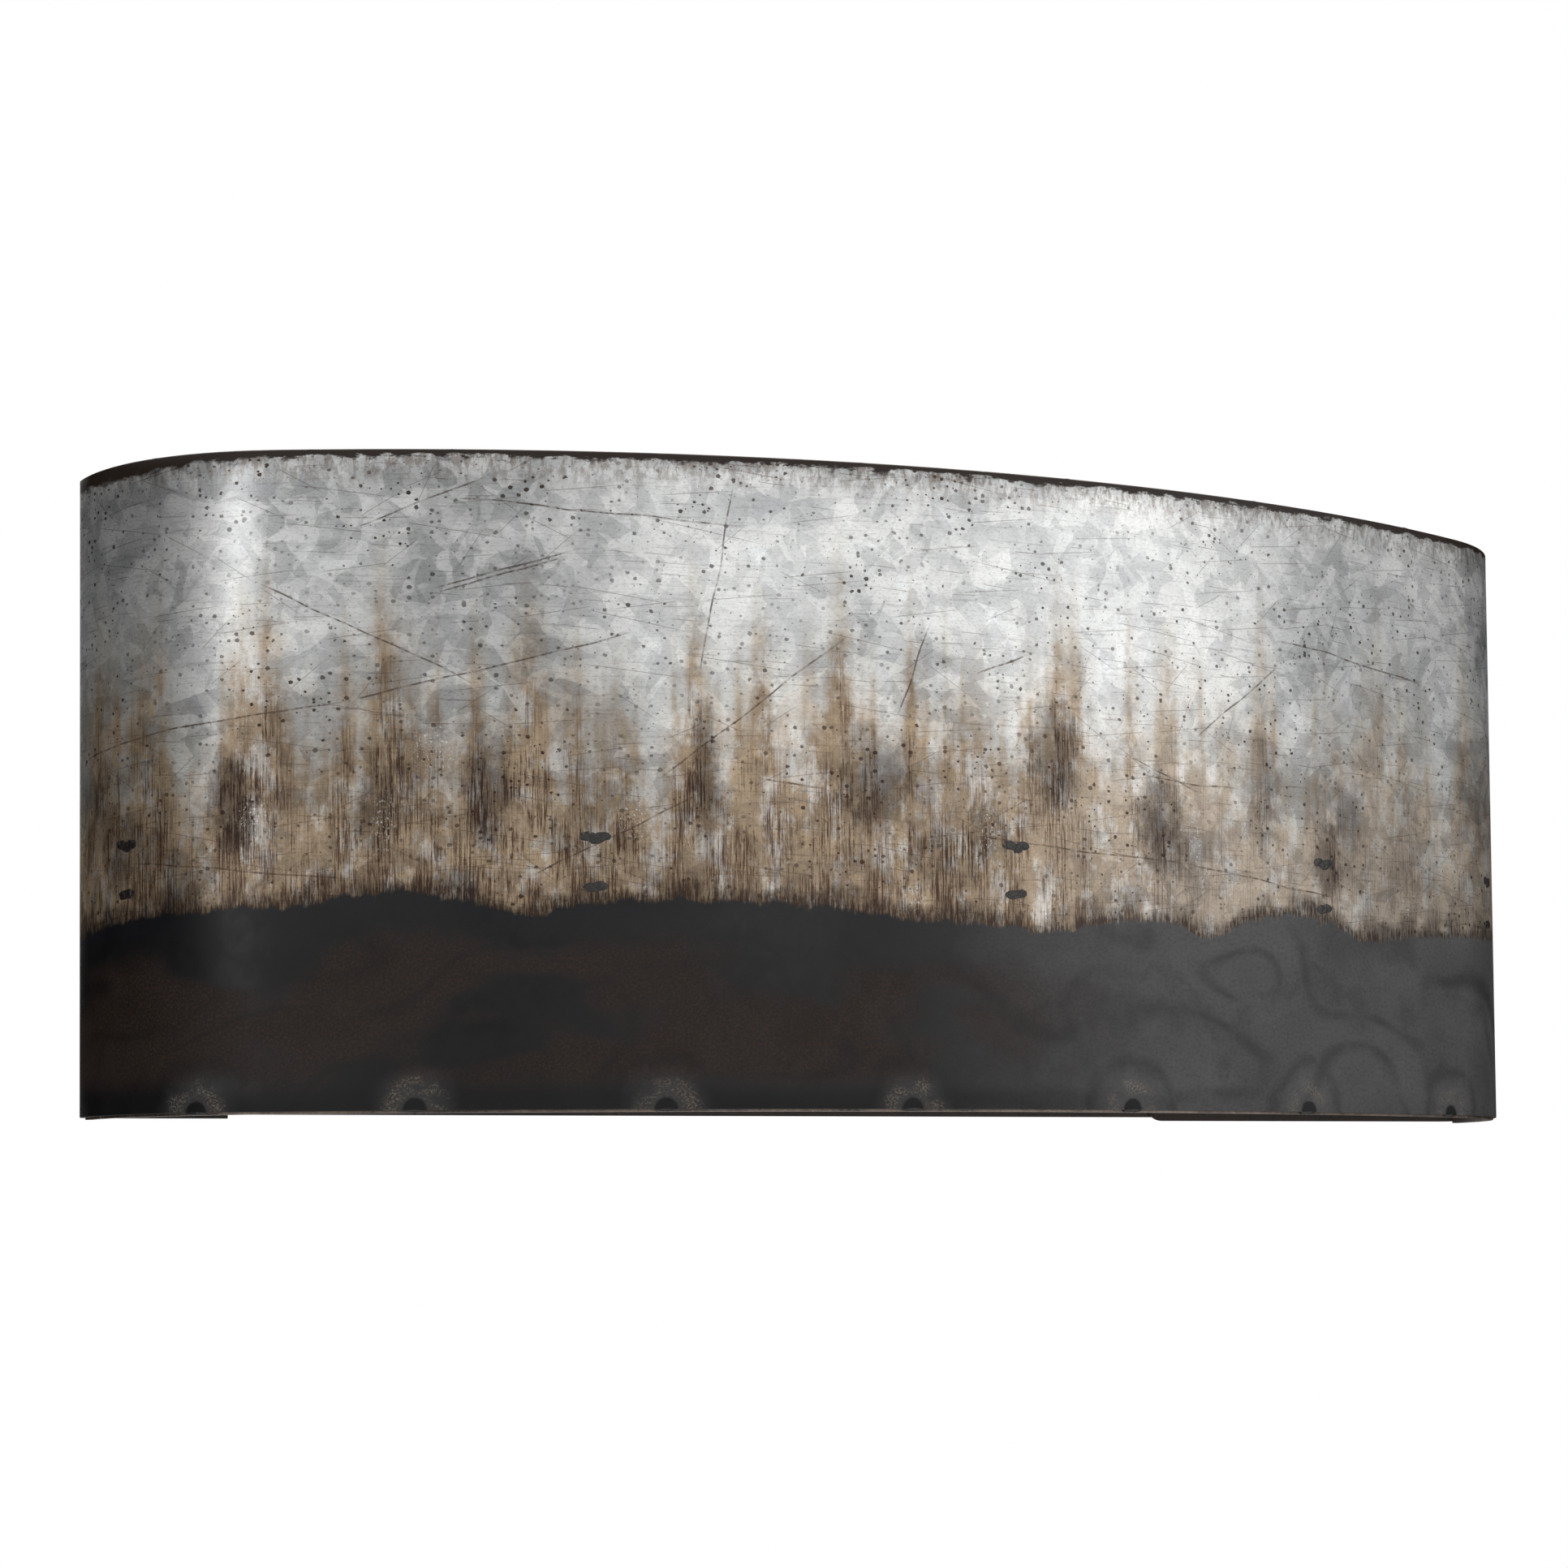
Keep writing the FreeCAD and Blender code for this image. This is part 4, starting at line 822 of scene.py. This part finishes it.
def grown(name, tree, base, values):
    """Runs a geometry tree on a base mesh and returns the plain mesh it makes."""
    holder = bpy.data.objects.new(name + "_base", base)
    bpy.context.scene.collection.objects.link(holder)
    modifier = holder.modifiers.new("grow", "NODES")
    modifier.node_group = tree
    keys = {item.name: item.identifier for item in tree.interface.items_tree if item.in_out == "INPUT"}
    for socket, value in values.items():
        modifier[keys[socket]] = value
    evaluated = holder.evaluated_get(bpy.context.evaluated_depsgraph_get())
    mesh = bpy.data.meshes.new_from_object(evaluated)
    mesh.name = name
    bpy.data.objects.remove(holder)
    return mesh


def places_mesh(name, places):
    """Bare points that carry a turn for what is set on them."""
    mesh = bpy.data.meshes.new(name)
    mesh.from_pydata([Vector(spot) * MM for spot, _ in places], [], [])
    turns = mesh.attributes.new("turn", "FLOAT_VECTOR", "POINT")
    for item, (_, turn) in zip(turns.data, places):
        item.vector = turn.to_euler()
    return mesh


def set_on_points(w, given, feeds):
    """Copies of an instance on the tree's points, turned as the points say."""
    turn = w.add("GeometryNodeInputNamedAttribute", {"Name": "turn"}, data_type="FLOAT_VECTOR")
    euler = w.add("FunctionNodeEulerToRotation", {0: turn.outputs["Attribute"]}).outputs[0]
    feeds = {"Points": given["Geometry"], "Rotation": euler, **feeds}
    return w.add("GeometryNodeInstanceOnPoints", feeds).outputs[0]


def build_placed_tree():
    """Sets a copy of one part on each point, turned as the point says."""
    tree, w, given = node_tree("placed parts", {"Part": "NodeSocketObject"})
    part = w.add("GeometryNodeObjectInfo", {"Object": given["Part"]}).outputs["Geometry"]
    close_tree(w, given, set_on_points(w, given, {"Instance": part}))
    return tree


def build_bead_tree():
    """Lumpy weld beads: a rounded pip on each point, roughened by noise so that no two are alike."""
    sizes = dict.fromkeys(("Length", "Depth", "Height", "Lumps", "Seed"), "NodeSocketFloat")
    tree, w, given = node_tree("weld beads", sizes)
    pip = w.add("GeometryNodeMeshIcoSphere", {"Radius": 0.5, "Subdivisions": 4}).outputs[0]
    size = w.combine(given["Length"], given["Depth"], given["Height"])
    copies = set_on_points(w, given, {"Instance": pip, "Scale": size})
    real = w.add("GeometryNodeRealizeInstances", {"Geometry": copies}).outputs[0]
    spot = w.add("GeometryNodeInputPosition").outputs[0]
    lumps = w.add("ShaderNodeTexNoise", {"Vector": spot, "W": given["Seed"], "Scale": 900.0, "Detail": 2.0},
                  noise_dimensions="4D").outputs["Fac"]
    push = w.times(w.minus(lumps, 0.55), given["Lumps"])
    normal = w.add("GeometryNodeInputNormal").outputs[0]
    offset = w.add("ShaderNodeVectorMath", {0: normal, "Scale": push}, operation="SCALE").outputs[0]
    close_tree(w, given, w.add("GeometryNodeSetPosition", {"Geometry": real, "Offset": offset}).outputs[0])
    return tree


def build_thread_tree():
    """A closed wire wound in a helix, for screw threads."""
    sizes = dict.fromkeys(("Radius", "Turns", "Height", "Wire"), "NodeSocketFloat")
    tree, w, given = node_tree("thread", sizes)
    winding = {"Resolution": 40, "Rotations": given["Turns"], "Start Radius": given["Radius"],
               "End Radius": given["Radius"], "Height": given["Height"]}
    helix = w.add("GeometryNodeCurveSpiral", winding).outputs[0]
    wire = w.add("GeometryNodeCurvePrimitiveCircle", {"Resolution": 8, "Radius": given["Wire"]}).outputs[0]
    tube = w.add("GeometryNodeCurveToMesh", {"Curve": helix, "Profile Curve": wire, "Fill Caps": True})
    close_tree(w, given, tube.outputs[0])
    return tree


placed_tree = build_placed_tree()
bead_tree = build_bead_tree()
thread_tree = build_thread_tree()


def turned_to(along, spin=0.0):
    """Quaternion that points local Z along a direction."""
    turn = Vector((0, 0, 1)).rotation_difference(Vector(along))
    return turn @ Quaternion((0, 0, 1), spin)


def on_wall_of_shade(run, height, lift=0.0):
    """Place and turn of something on the shade's outer face: local X along it, local Y outward."""
    spot, outward = outer_face(run)
    turn = Vector((0, 1, 0)).rotation_difference(outward)
    if outward.y < -0.999:
        turn = Quaternion((0, 0, 1), math.pi)
    return spot + outward * lift + Vector((0, 0, height - HALF_HEIGHT)), turn


# ---------------------------------------------------------------- shade


def return_lift(past_end):
    """How far the lower corner of the right return is rounded off, near its free end."""
    if past_end >= RETURN_CORNER:
        return 0.0
    return RETURN_CORNER - math.sqrt(RETURN_CORNER**2 - (RETURN_CORNER - past_end) ** 2)


def sheet_runs():
    """Distances round the sheet at which its columns stand, closer together at the corners."""
    corner_start = HALF_RUN + SIDE_STRAIGHT
    corner_end = corner_start + CORNER_RADIUS * math.pi / 2
    left = corner_end + LEFT_RETURN - CORNER_RADIUS
    right = corner_end + RIGHT_RETURN - CORNER_RADIUS
    runs = [-left, -corner_end - 12]
    runs += [-corner_end + (corner_end - corner_start) * i / 8 for i in range(9)]
    curved = 190
    runs += [-HALF_RUN + 2 * HALF_RUN * i / curved for i in range(curved + 1)]
    runs += [corner_start + (corner_end - corner_start) * i / 8 for i in range(9)]
    runs += [corner_end + 12, corner_end + 45]
    runs += [right - RETURN_CORNER + RETURN_CORNER * i / 8 for i in range(9)]
    return runs


def shade_mesh():
    """The bent sheet: outer face, rounded cut edges and inner face, with its own sheet coordinates."""
    runs = sheet_runs()
    height = 2 * HALF_HEIGHT
    round_edge = 0.14
    rows = [0.0, round_edge] + [height * i / 24 for i in range(1, 24)] + [height - round_edge, height]
    points, tags, faces = [], [], []

    def ring_of(run):
        """One column's closed outline: up the outer face, over the edge and down the inner face."""
        spot, outward = outer_face(run)
        lift = return_lift(runs[-1] - run) if run > 0 else 0.0
        outline = []
        for order, inward in ((rows, 0.0), (rows[::-1], 1.0)):
            for row in order:
                edge = row in (0.0, height)
                level = max(row, lift + (0 if edge else round_edge)) if row < RETURN_CORNER + 1 else row
                inset = round_edge if edge else 0.0
                depth = SHEET_WALL - inset if inward else inset
                outline.append((spot - outward * depth, level, inward))
        return outline

    for run in runs:
        for spot, level, inward in ring_of(run):
            points.append(spot + Vector((0, 0, level - HALF_HEIGHT)))
            tags.append((run, level, inward))
    count = 2 * len(rows)
    for column in range(len(runs) - 1):
        for i in range(count):
            j = (i + 1) % count
            a, b = column * count, (column + 1) * count
            faces.append((a + i, b + i, b + j, a + j))
    faces.append(tuple(range(count)))
    faces.append(tuple(reversed(range((len(runs) - 1) * count, len(runs) * count))))
    mesh = mesh_of("galvanised_shade", points, faces)
    sheet = mesh.attributes.new("on_sheet", "FLOAT_VECTOR", "POINT")
    sheet.data.foreach_set("vector", [value for tag in tags for value in tag])
    with edited(mesh) as shape:
        caps = [face for face in shape.faces if len(face.verts) > 4]
        for cap in caps:
            around = list(cap.verts)
            bmesh.ops.delete(shape, geom=[cap], context="FACES_ONLY")
            for i in range(len(rows) - 1):
                shape.faces.new((around[i], around[i + 1], around[count - 2 - i], around[count - 1 - i]))
        bmesh.ops.recalc_face_normals(shape, faces=shape.faces)
    return sharpen(smoothed(mesh), 50)


piece("galvanised_shade", shade_mesh(), "fixture", "galvanised_sheet", "shade_band")


# ---------------------------------------------------------------- welds


def weld_beads(name, places, length, depth, height, lumps, seed, *replaced):
    values = {"Length": length * MM, "Depth": depth * MM, "Height": height * MM, "Lumps": lumps * MM,
              "Seed": float(seed), "Material": FINISHES["weld_metal"]}
    mesh = grown(name, bead_tree, places_mesh(name, places), values)
    piece(name, mesh, "fixture", "weld_metal", *replaced)


weld_beads("bottom_tack_beads", [on_wall_of_shade(run, -0.02, -0.45) for run in BOTTOM_TACKS],
           5.2, 1.0, 1.1, 0.35, 3, "bottom_tack_welds")
weld_beads("top_tack_beads", [on_wall_of_shade(run, 2 * HALF_HEIGHT - 0.1, -0.5) for run in TOP_TACKS],
           4.6, 0.8, 0.7, 0.25, 4, "top_tack_welds")
LOW_WELD, HIGH_WELD = WELD_LEVELS
CLIP_SMEARS = ((-1.7, HIGH_WELD + 0.3), (0.2, HIGH_WELD - 0.4), (1.8, HIGH_WELD + 0.2),
               (-0.9, LOW_WELD), (1.0, LOW_WELD + 0.3))
weld_beads("clip_weld_smears",
           [on_wall_of_shade(run + shift, level) for run in CLIP_PLACES for shift, level in CLIP_SMEARS],
           3.9, 0.4, 2.3, 0.8, 5, "clip_spot_welds")


# ---------------------------------------------------------------- ledge clips

CLIP_WIDE = 12
CLIP_GAP = 0.05


def part_object(mesh):
    return bpy.data.objects.new(mesh.name, mesh)


def clip_part():
    """L-shaped clip: a leg against the sheet and a ledge inward, with a rounded bend."""
    high, reach, wall, bend = 24, 11, 1, 1.6
    outer, inner = [], []
    for i in range(7):
        angle = math.pi + math.pi / 2 * i / 6
        outer.append((bend + bend * math.cos(angle), bend + bend * math.sin(angle)))
        less = bend - wall
        inner.append((bend + less * math.cos(angle), bend + less * math.sin(angle)))
    outer = [(0, high)] + outer + [(reach, 0)]
    inner = [(wall, high)] + inner + [(reach, wall)]
    outline = outer + inner[::-1]
    points = [(x, y, z) for x in (-CLIP_WIDE / 2, CLIP_WIDE / 2) for y, z in outline]
    count = len(outline)
    faces = [(i, (i + 1) % count, count + (i + 1) % count, count + i) for i in range(count)]
    half = len(outer)
    for first in (0, count):
        faces += [(first + i, first + i + 1, first + count - 2 - i, first + count - 1 - i)
                  for i in range(half - 1)]
    holder = part_object(joined("clip_part", [(points, faces)]))
    cut = holder.modifiers.new("round", "BEVEL")
    cut.width, cut.segments, cut.limit_method, cut.angle_limit = 0.2 * MM, 2, "ANGLE", math.radians(50)
    return holder


def placed(name, part, places, body, finish, *replaced):
    """Copies of one part on several places, as one piece."""
    bpy.context.scene.collection.objects.link(part)
    mesh = grown(name, placed_tree, places_mesh(name, places), {"Part": part, "Material": FINISHES[finish]})
    bpy.data.objects.remove(part)
    return piece(name, sharpen(mesh), body, finish, *replaced)


def clip_places():
    """Where each clip's leg stands, inside the sheet and clear of its curve."""
    places = []
    for number, run in enumerate(CLIP_PLACES, start=1):
        spot, outward = outer_face(run)
        low, _ = node_box(f"ledge_clip_{number}")
        radius = (FRONT_RADIUS if abs(run) <= FRONT_HALF else END_RADIUS) - SHEET_WALL - CLIP_GAP
        bow = radius - math.sqrt(radius**2 - (CLIP_WIDE / 2) ** 2)
        foot = spot - outward * (SHEET_WALL + CLIP_GAP + bow)
        turn = Vector((0, 1, 0)).rotation_difference(-outward)
        places.append((Vector((foot.x, foot.y, low.z)), turn))
    return places


placed("ledge_clips", clip_part(), clip_places(), "fixture", "clip_steel",
       *(f"ledge_clip_{number}" for number in range(1, 6)))


# ---------------------------------------------------------------- screws, nuts and studs


def slotted_head(radius, crown, slot_wide, slot_deep, name):
    """Domed head with a straight slot, standing on its flat face along Z."""
    rings, steps = 8, 48
    points, faces = [Vector((0, 0, 0))], []
    for ring in range(rings + 1):
        lean = math.pi / 2 * ring / rings
        reach, level = radius * math.cos(lean), crown * math.sin(lean)
        for step in range(steps):
            angle = 2 * math.pi * step / steps
            x, y = reach * math.cos(angle), reach * math.sin(angle)
            in_slot = abs(y) < slot_wide / 2 and ring > 0
            points.append(Vector((x, y, max(0.1, min(level, crown - slot_deep)) if in_slot else level)))
    for ring in range(rings):
        for step in range(steps):
            a, b = 1 + ring * steps + step, 1 + ring * steps + (step + 1) % steps
            faces.append((a, b, b + steps, a + steps))
    faces += [(0, 1 + (step + 1) % steps, 1 + step) for step in range(steps)]
    return part_object(joined(name, [(points, faces)]))


def hex_part(radius, height, bore, name):
    """Hexagonal nut with chamfered corners and a round bore, or a solid head where the bore is 0."""
    def corner(reach, angle, distance):
        flat = reach * math.cos(math.pi / 6) / math.cos((angle + math.pi / 6) % (math.pi / 3) - math.pi / 6)
        limit = radius * (0.93 if distance in (0, height) else 1)
        return reach if reach <= bore + 0.01 else min(flat, limit)
    outer = [(0, radius * 0.9), (0, radius), (0.4, radius), (height - 0.4, radius), (height, radius),
             (height, radius * 0.9)]
    inner = [(height, bore + 0.3), (height - 0.3, bore), (0.3, bore), (0, bore + 0.3)]
    if bore == 0:
        inner = [(height, 0.0), (0, 0.0)]
    return part_object(joined(name, [lathe(outer + inner, (0, 0, 0), (0, 0, 1), 72, corner)]))


PAN_DEPTH = -node_box("wiring_pan")[0].y
holder_low, holder_high = node_box("lampholder_left")
LAMP_RISE = (holder_low.z + holder_high.z) / 2
LAMP_REACH = -(holder_low.y + holder_high.y) / 2
HOLDER_RADIUS = (holder_high.z - holder_low.z) / 2
HOLDER_BASE = -holder_high.x
BRACKET_WALL, HOLDER_FLOOR = 1.5, 4
FORWARD = Vector((0, -1, 0))

head_face = -PAN_DEPTH - BRACKET_WALL
placed("bracket_screw_heads", slotted_head(2.8, 1.4, 0.7, 0.7, "bracket_screw"),
       [(Vector((0, head_face, LAMP_RISE + sign * 13)), turned_to(FORWARD, 0.5 + sign))
        for sign in SIDES.values()],
       "fixture", "zinc_hardware", "bracket_screws")
placed("holder_screw_heads", slotted_head(2.8, 1.4, 0.7, 0.7, "holder_screw"),
       [(Vector((toward * (HOLDER_BASE + HOLDER_FLOOR), -LAMP_REACH, LAMP_RISE + sign * 8.5)),
         turned_to((toward, 0, 0), 0.9 * sign + toward))
        for toward in SIDES.values() for sign in SIDES.values()],
       "fixture", "zinc_hardware", "lampholder_screws")
studs_low, studs_high = node_box("mounting_studs")
STUD_PLACE = (studs_high.x - studs_low.x) / 2 - 2
NUT_SEAT = -1.6
placed("hex_lock_nuts", hex_part(4, 3.2, 2.06, "lock_nut"),
       [(Vector((sign * STUD_PLACE, NUT_SEAT, 0)), turned_to(FORWARD, 0.4 * sign))
        for sign in SIDES.values()],
       "fixture", "zinc_hardware", "stud_lock_nuts")
placed("ground_screw_head", hex_part(4, 2.4, 0, "ground_head"),
       [(Vector((node_box("ground_screw")[0].x + 4, NUT_SEAT, 0)), turned_to(FORWARD))],
       "fixture", "green_screw", "ground_screw")


def threaded(name, barrel, start, along, thread, body, finish, *replaced):
    """A turned barrel with a helical thread: thread is radius, pitch, first height, length and wire."""
    radius, pitch, first, length, wire = thread
    mesh = joined(name, [barrel])
    values = {"Radius": radius * MM, "Turns": length / pitch, "Height": length * MM, "Wire": wire * MM,
              "Material": FINISHES[finish]}
    helix = grown(name + "_helix", thread_tree, bpy.data.meshes.new("empty"), values)
    turn = turned_to(along).to_matrix().to_4x4()
    helix.transform(Matrix.Translation(Vector(start) * MM) @ turn @ Matrix.Translation((0, 0, first * MM)))
    with edited(mesh) as shape:
        shape.from_mesh(helix)
    return piece(name, smoothed(mesh), body, finish, *replaced)


def stud_profile(length):
    return [(0, 0.0), (0, 1.6), (0.3, 1.82), (length - 0.4, 1.82), (length, 1.5), (length, 0.0)]


stud_length = -studs_low.y
for side_name, direction in SIDES.items():
    foot = (direction * STUD_PLACE, 0, 0)
    threaded(f"threaded_stud_{side_name}", lathe(stud_profile(stud_length), foot, FORWARD, 32),
                          foot, FORWARD, (1.8, 0.8, 0.4, stud_length - 1, 0.2), "fixture", "zinc_hardware")
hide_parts("mounting_studs")


def nut_radius(radius, angle, distance):
    """Fine straight knurl on the skirt of a cap nut."""
    knurled = 0.9 < distance < 6.4 and radius > 5.6
    return radius - (0.35 * abs(math.sin(angle * 18)) if knurled else 0)


def cap_nut_profile():
    """Skirt, groove, dome and threaded hollow of a cap nut, along its axis from the pan outward."""
    skirt, dome, radius = 7, 4, 6
    outline = [(0, 2.1), (0, 5.6), (0.4, 6), (0.9, 6), (1.0, 6), (6.3, 6), (6.5, 6), (skirt, 5.7)]
    outline += [(skirt + dome * math.sin(lean), radius * 0.95 * math.cos(lean))
                for lean in (math.pi / 2 * i / 10 for i in range(1, 10))]
    return outline + [(skirt + dome, 0.0), (8.5, 0.0), (8.5, 2.1)]


for side_name, direction in SIDES.items():
    seat = (direction * STUD_PLACE, -PAN_DEPTH, 0)
    nut = joined(f"knurled_cap_nut_{side_name}",
                 [lathe(cap_nut_profile(), seat, FORWARD, 144, nut_radius)])
    piece(f"knurled_cap_nut_{side_name}", nut, f"cap_nut_{side_name}", "dark_nut", f"cap_nut_{side_name}")


# ---------------------------------------------------------------- lamps and their holders


def lamp_profile(start):
    """Wall of the glass from its stem to the end of its ball and back inside, from the holder outward."""
    length, ball, wall, stem, stem_start = 105, 30, 0.9, 12.3, 4.1
    middle = length - ball
    neck_bend, swell = 38, math.radians(36)
    outer = [(stem_start + 0.5, stem), (neck_bend - 6, stem)]
    for i in range(1, 9):
        share = i / 8
        ease = share * share * (3 - 2 * share)
        along = neck_bend - 6 + share * (middle - ball * math.cos(swell) - neck_bend + 6)
        outer.append((along, stem + ease * (ball * math.sin(swell) - stem)))
    turns = 26
    outer += [(middle - ball * math.cos(angle), ball * math.sin(angle))
              for angle in (swell + (math.pi - swell) * i / turns for i in range(1, turns))]
    outer.append((length, 0.0))
    inner = [(length - wall, 0.0)]
    inner += [(middle - (ball - wall) * math.cos(angle), (ball - wall) * math.sin(angle))
              for angle in (math.pi - (math.pi - swell) * i / turns for i in range(1, turns))]
    inner += [(along, reach - wall) for along, reach in reversed(outer[:10])]
    return [(start + along, reach) for along, reach in outer + inner]


LAMP_START = -node_box("lamp_contact_left")[1].x
for side_name, direction in SIDES.items():
    along = (direction, 0, 0)
    axis_start = (0, -LAMP_REACH, LAMP_RISE)
    glass = joined(f"glass_{side_name}", [lathe(lamp_profile(LAMP_START), axis_start, along, 96)])
    piece(f"glass_{side_name}", glass, f"lamp_{side_name}", "frosted_glass", f"lamp_glass_{side_name}")
    cap_start = LAMP_START + 3.6
    cap_wall = [(cap_start, 12.1), (cap_start, 12.5), (cap_start + 0.8, 12.72), (cap_start + 18.5, 12.72),
                (cap_start + 19.5, 13.15), (cap_start + 24, 13.15), (cap_start + 24, 12.6),
                (cap_start + 19.5, 12.35)]
    cap_base = lathe(cap_wall, axis_start, along, 72)
    threaded(f"threaded_cap_{side_name}", cap_base, axis_start, along,
             (12.6, 3.6, cap_start + 1.2, 16.5, 0.58), f"lamp_{side_name}", "lamp_cap_metal",
             f"lamp_cap_{side_name}")
    shell_start = HOLDER_BASE + 8
    shell_wall = [(shell_start, 14.3), (shell_start + 28, 14.3), (shell_start + 28, 13.9),
                  (shell_start, 13.9)]
    threaded(f"threaded_shell_{side_name}", lathe(shell_wall, axis_start, along, 72), axis_start, along,
             (13.95, 3.6, shell_start + 1.2, 25, 0.3), "fixture", "brass", f"screw_shell_{side_name}")


# ---------------------------------------------------------------- wire connectors


def rib(radius, angle, distance):
    """Shallow grip ribs round a wire connector."""
    return radius * (1 - 0.06 * abs(math.sin(angle * 6))) if radius > 2 else radius


connectors = []
connector_low, connector_high = node_box("wire_connectors")
_, connector_y, connector_z = (connector_low + connector_high) / 2
for direction in SIDES.values():
    outline = [(0, 1.3), (0, 3.6), (0.5, 4.15), (2, 4.15), (12, 3.0), (14.3, 2.5), (15, 1.9), (15, 0.0),
               (1.5, 0.0), (1.5, 1.3)]
    place = (direction * (connector_high.x - 15), connector_y, connector_z)
    connectors.append(lathe(outline, place, (direction, 0, 0), 72, rib))
piece("ribbed_wire_connectors", joined("ribbed_wire_connectors", connectors), "fixture",
      "connector_plastic", "wire_connectors")


# ---------------------------------------------------------------- light and camera


def build_world():
    """White seen directly, in gloss and through glass; a dimmer fill on the object."""
    world = bpy.data.worlds.new("studio")
    world.use_nodes = True
    bpy.context.scene.world = world
    w = Wiring(world.node_tree)
    background = world.node_tree.nodes["Background"]
    path = w.add("ShaderNodeLightPath").outputs
    seen = w.most(w.most(path["Is Camera Ray"], path["Is Glossy Ray"]), path["Is Transmission Ray"])
    fill = 0.3
    background.inputs["Color"].default_value = (1, 1, 1, 1)
    w.feed(background.inputs["Strength"], w.plus(fill, w.times(seen, 1 - fill)))


def softbox(name, azimuth, elevation, distance, wide, high, power):
    """An area light that stands round the object and faces it; azimuth 0 is in front."""
    light = bpy.data.lights.new(name, "AREA")
    light.shape, light.size, light.size_y, light.energy = "RECTANGLE", wide * MM, high * MM, power
    stand = bpy.data.objects.new(name, light)
    a, e = math.radians(azimuth), math.radians(elevation)
    back = Vector((math.sin(a) * math.cos(e), -math.cos(a) * math.cos(e), math.sin(e)))
    stand.location = back * distance * MM
    stand.rotation_mode = "QUATERNION"
    stand.rotation_quaternion = (-back).to_track_quat("-Z", "Y")
    bpy.context.scene.collection.objects.link(stand)


def flag(name, azimuth, distance, wide, high):
    """A black card beside the light, seen only in its gloss, that darkens the ends of the sheet."""
    x, z = wide / 2, high / 2
    corners = [(-x, 0, -z), (x, 0, -z), (x, 0, z), (-x, 0, z)]
    card = part_object(mesh_of(name, corners, [(0, 1, 2, 3)], smooth=False))
    material, _, shader = new_material("black_card", Roughness=1.0, Specular_IOR_Level=0.0)
    shader.inputs["Base Color"].default_value = (0.004, 0.004, 0.004, 1)
    card.data.materials.append(material)
    bearing = math.radians(azimuth)
    card.location = (distance * MM * math.sin(bearing), -distance * MM * math.cos(bearing), 0)
    card.rotation_euler = (0, 0, bearing)
    for rays in ("camera", "shadow", "diffuse", "transmission"):
        setattr(card, f"visible_{rays}", False)
    bpy.context.scene.collection.objects.link(card)


def build_camera():
    """Stands to the left of the light and a little low, looking slightly up at it."""
    camera = bpy.data.objects.new("camera", bpy.data.cameras.new("camera"))
    camera.data.sensor_width = 36
    camera.data.lens = 89.8
    camera.data.shift_y = 0.14
    camera.data.clip_start = 0.05
    camera.location = (-0.4267, -0.9153, -0.1022)
    yaw, pitch, roll = math.radians(-24.56), math.radians(3.2), math.radians(-0.542)
    forward = Vector((-math.sin(yaw) * math.cos(pitch), math.cos(yaw) * math.cos(pitch), math.sin(pitch)))
    level = Vector((math.cos(yaw), math.sin(yaw), 0))
    upright = level.cross(forward)
    right = level * math.cos(roll) + upright * math.sin(roll)
    up = upright * math.cos(roll) - level * math.sin(roll)
    camera.rotation_mode = "QUATERNION"
    camera.rotation_quaternion = Matrix((right, up, -forward)).transposed().to_quaternion()
    bpy.context.scene.collection.objects.link(camera)
    bpy.context.scene.camera = camera


build_world()
softbox("left_strip", -54, 8, 1500, 90, 1300, 5)
softbox("front_box", 4, 12, 1700, 360, 1300, 3.3)
softbox("right_box", 38, 12, 1700, 560, 1300, 6.5)
flag("left_flag", -89, 1100, 950, 1900)
flag("left_back_flag", -138, 1100, 1100, 1900)
flag("middle_flag", -20, 1900, 420, 1900)
flag("right_flag", 112, 1100, 1300, 1900)
build_camera()
bpy.context.scene.view_settings.view_transform = "Standard"
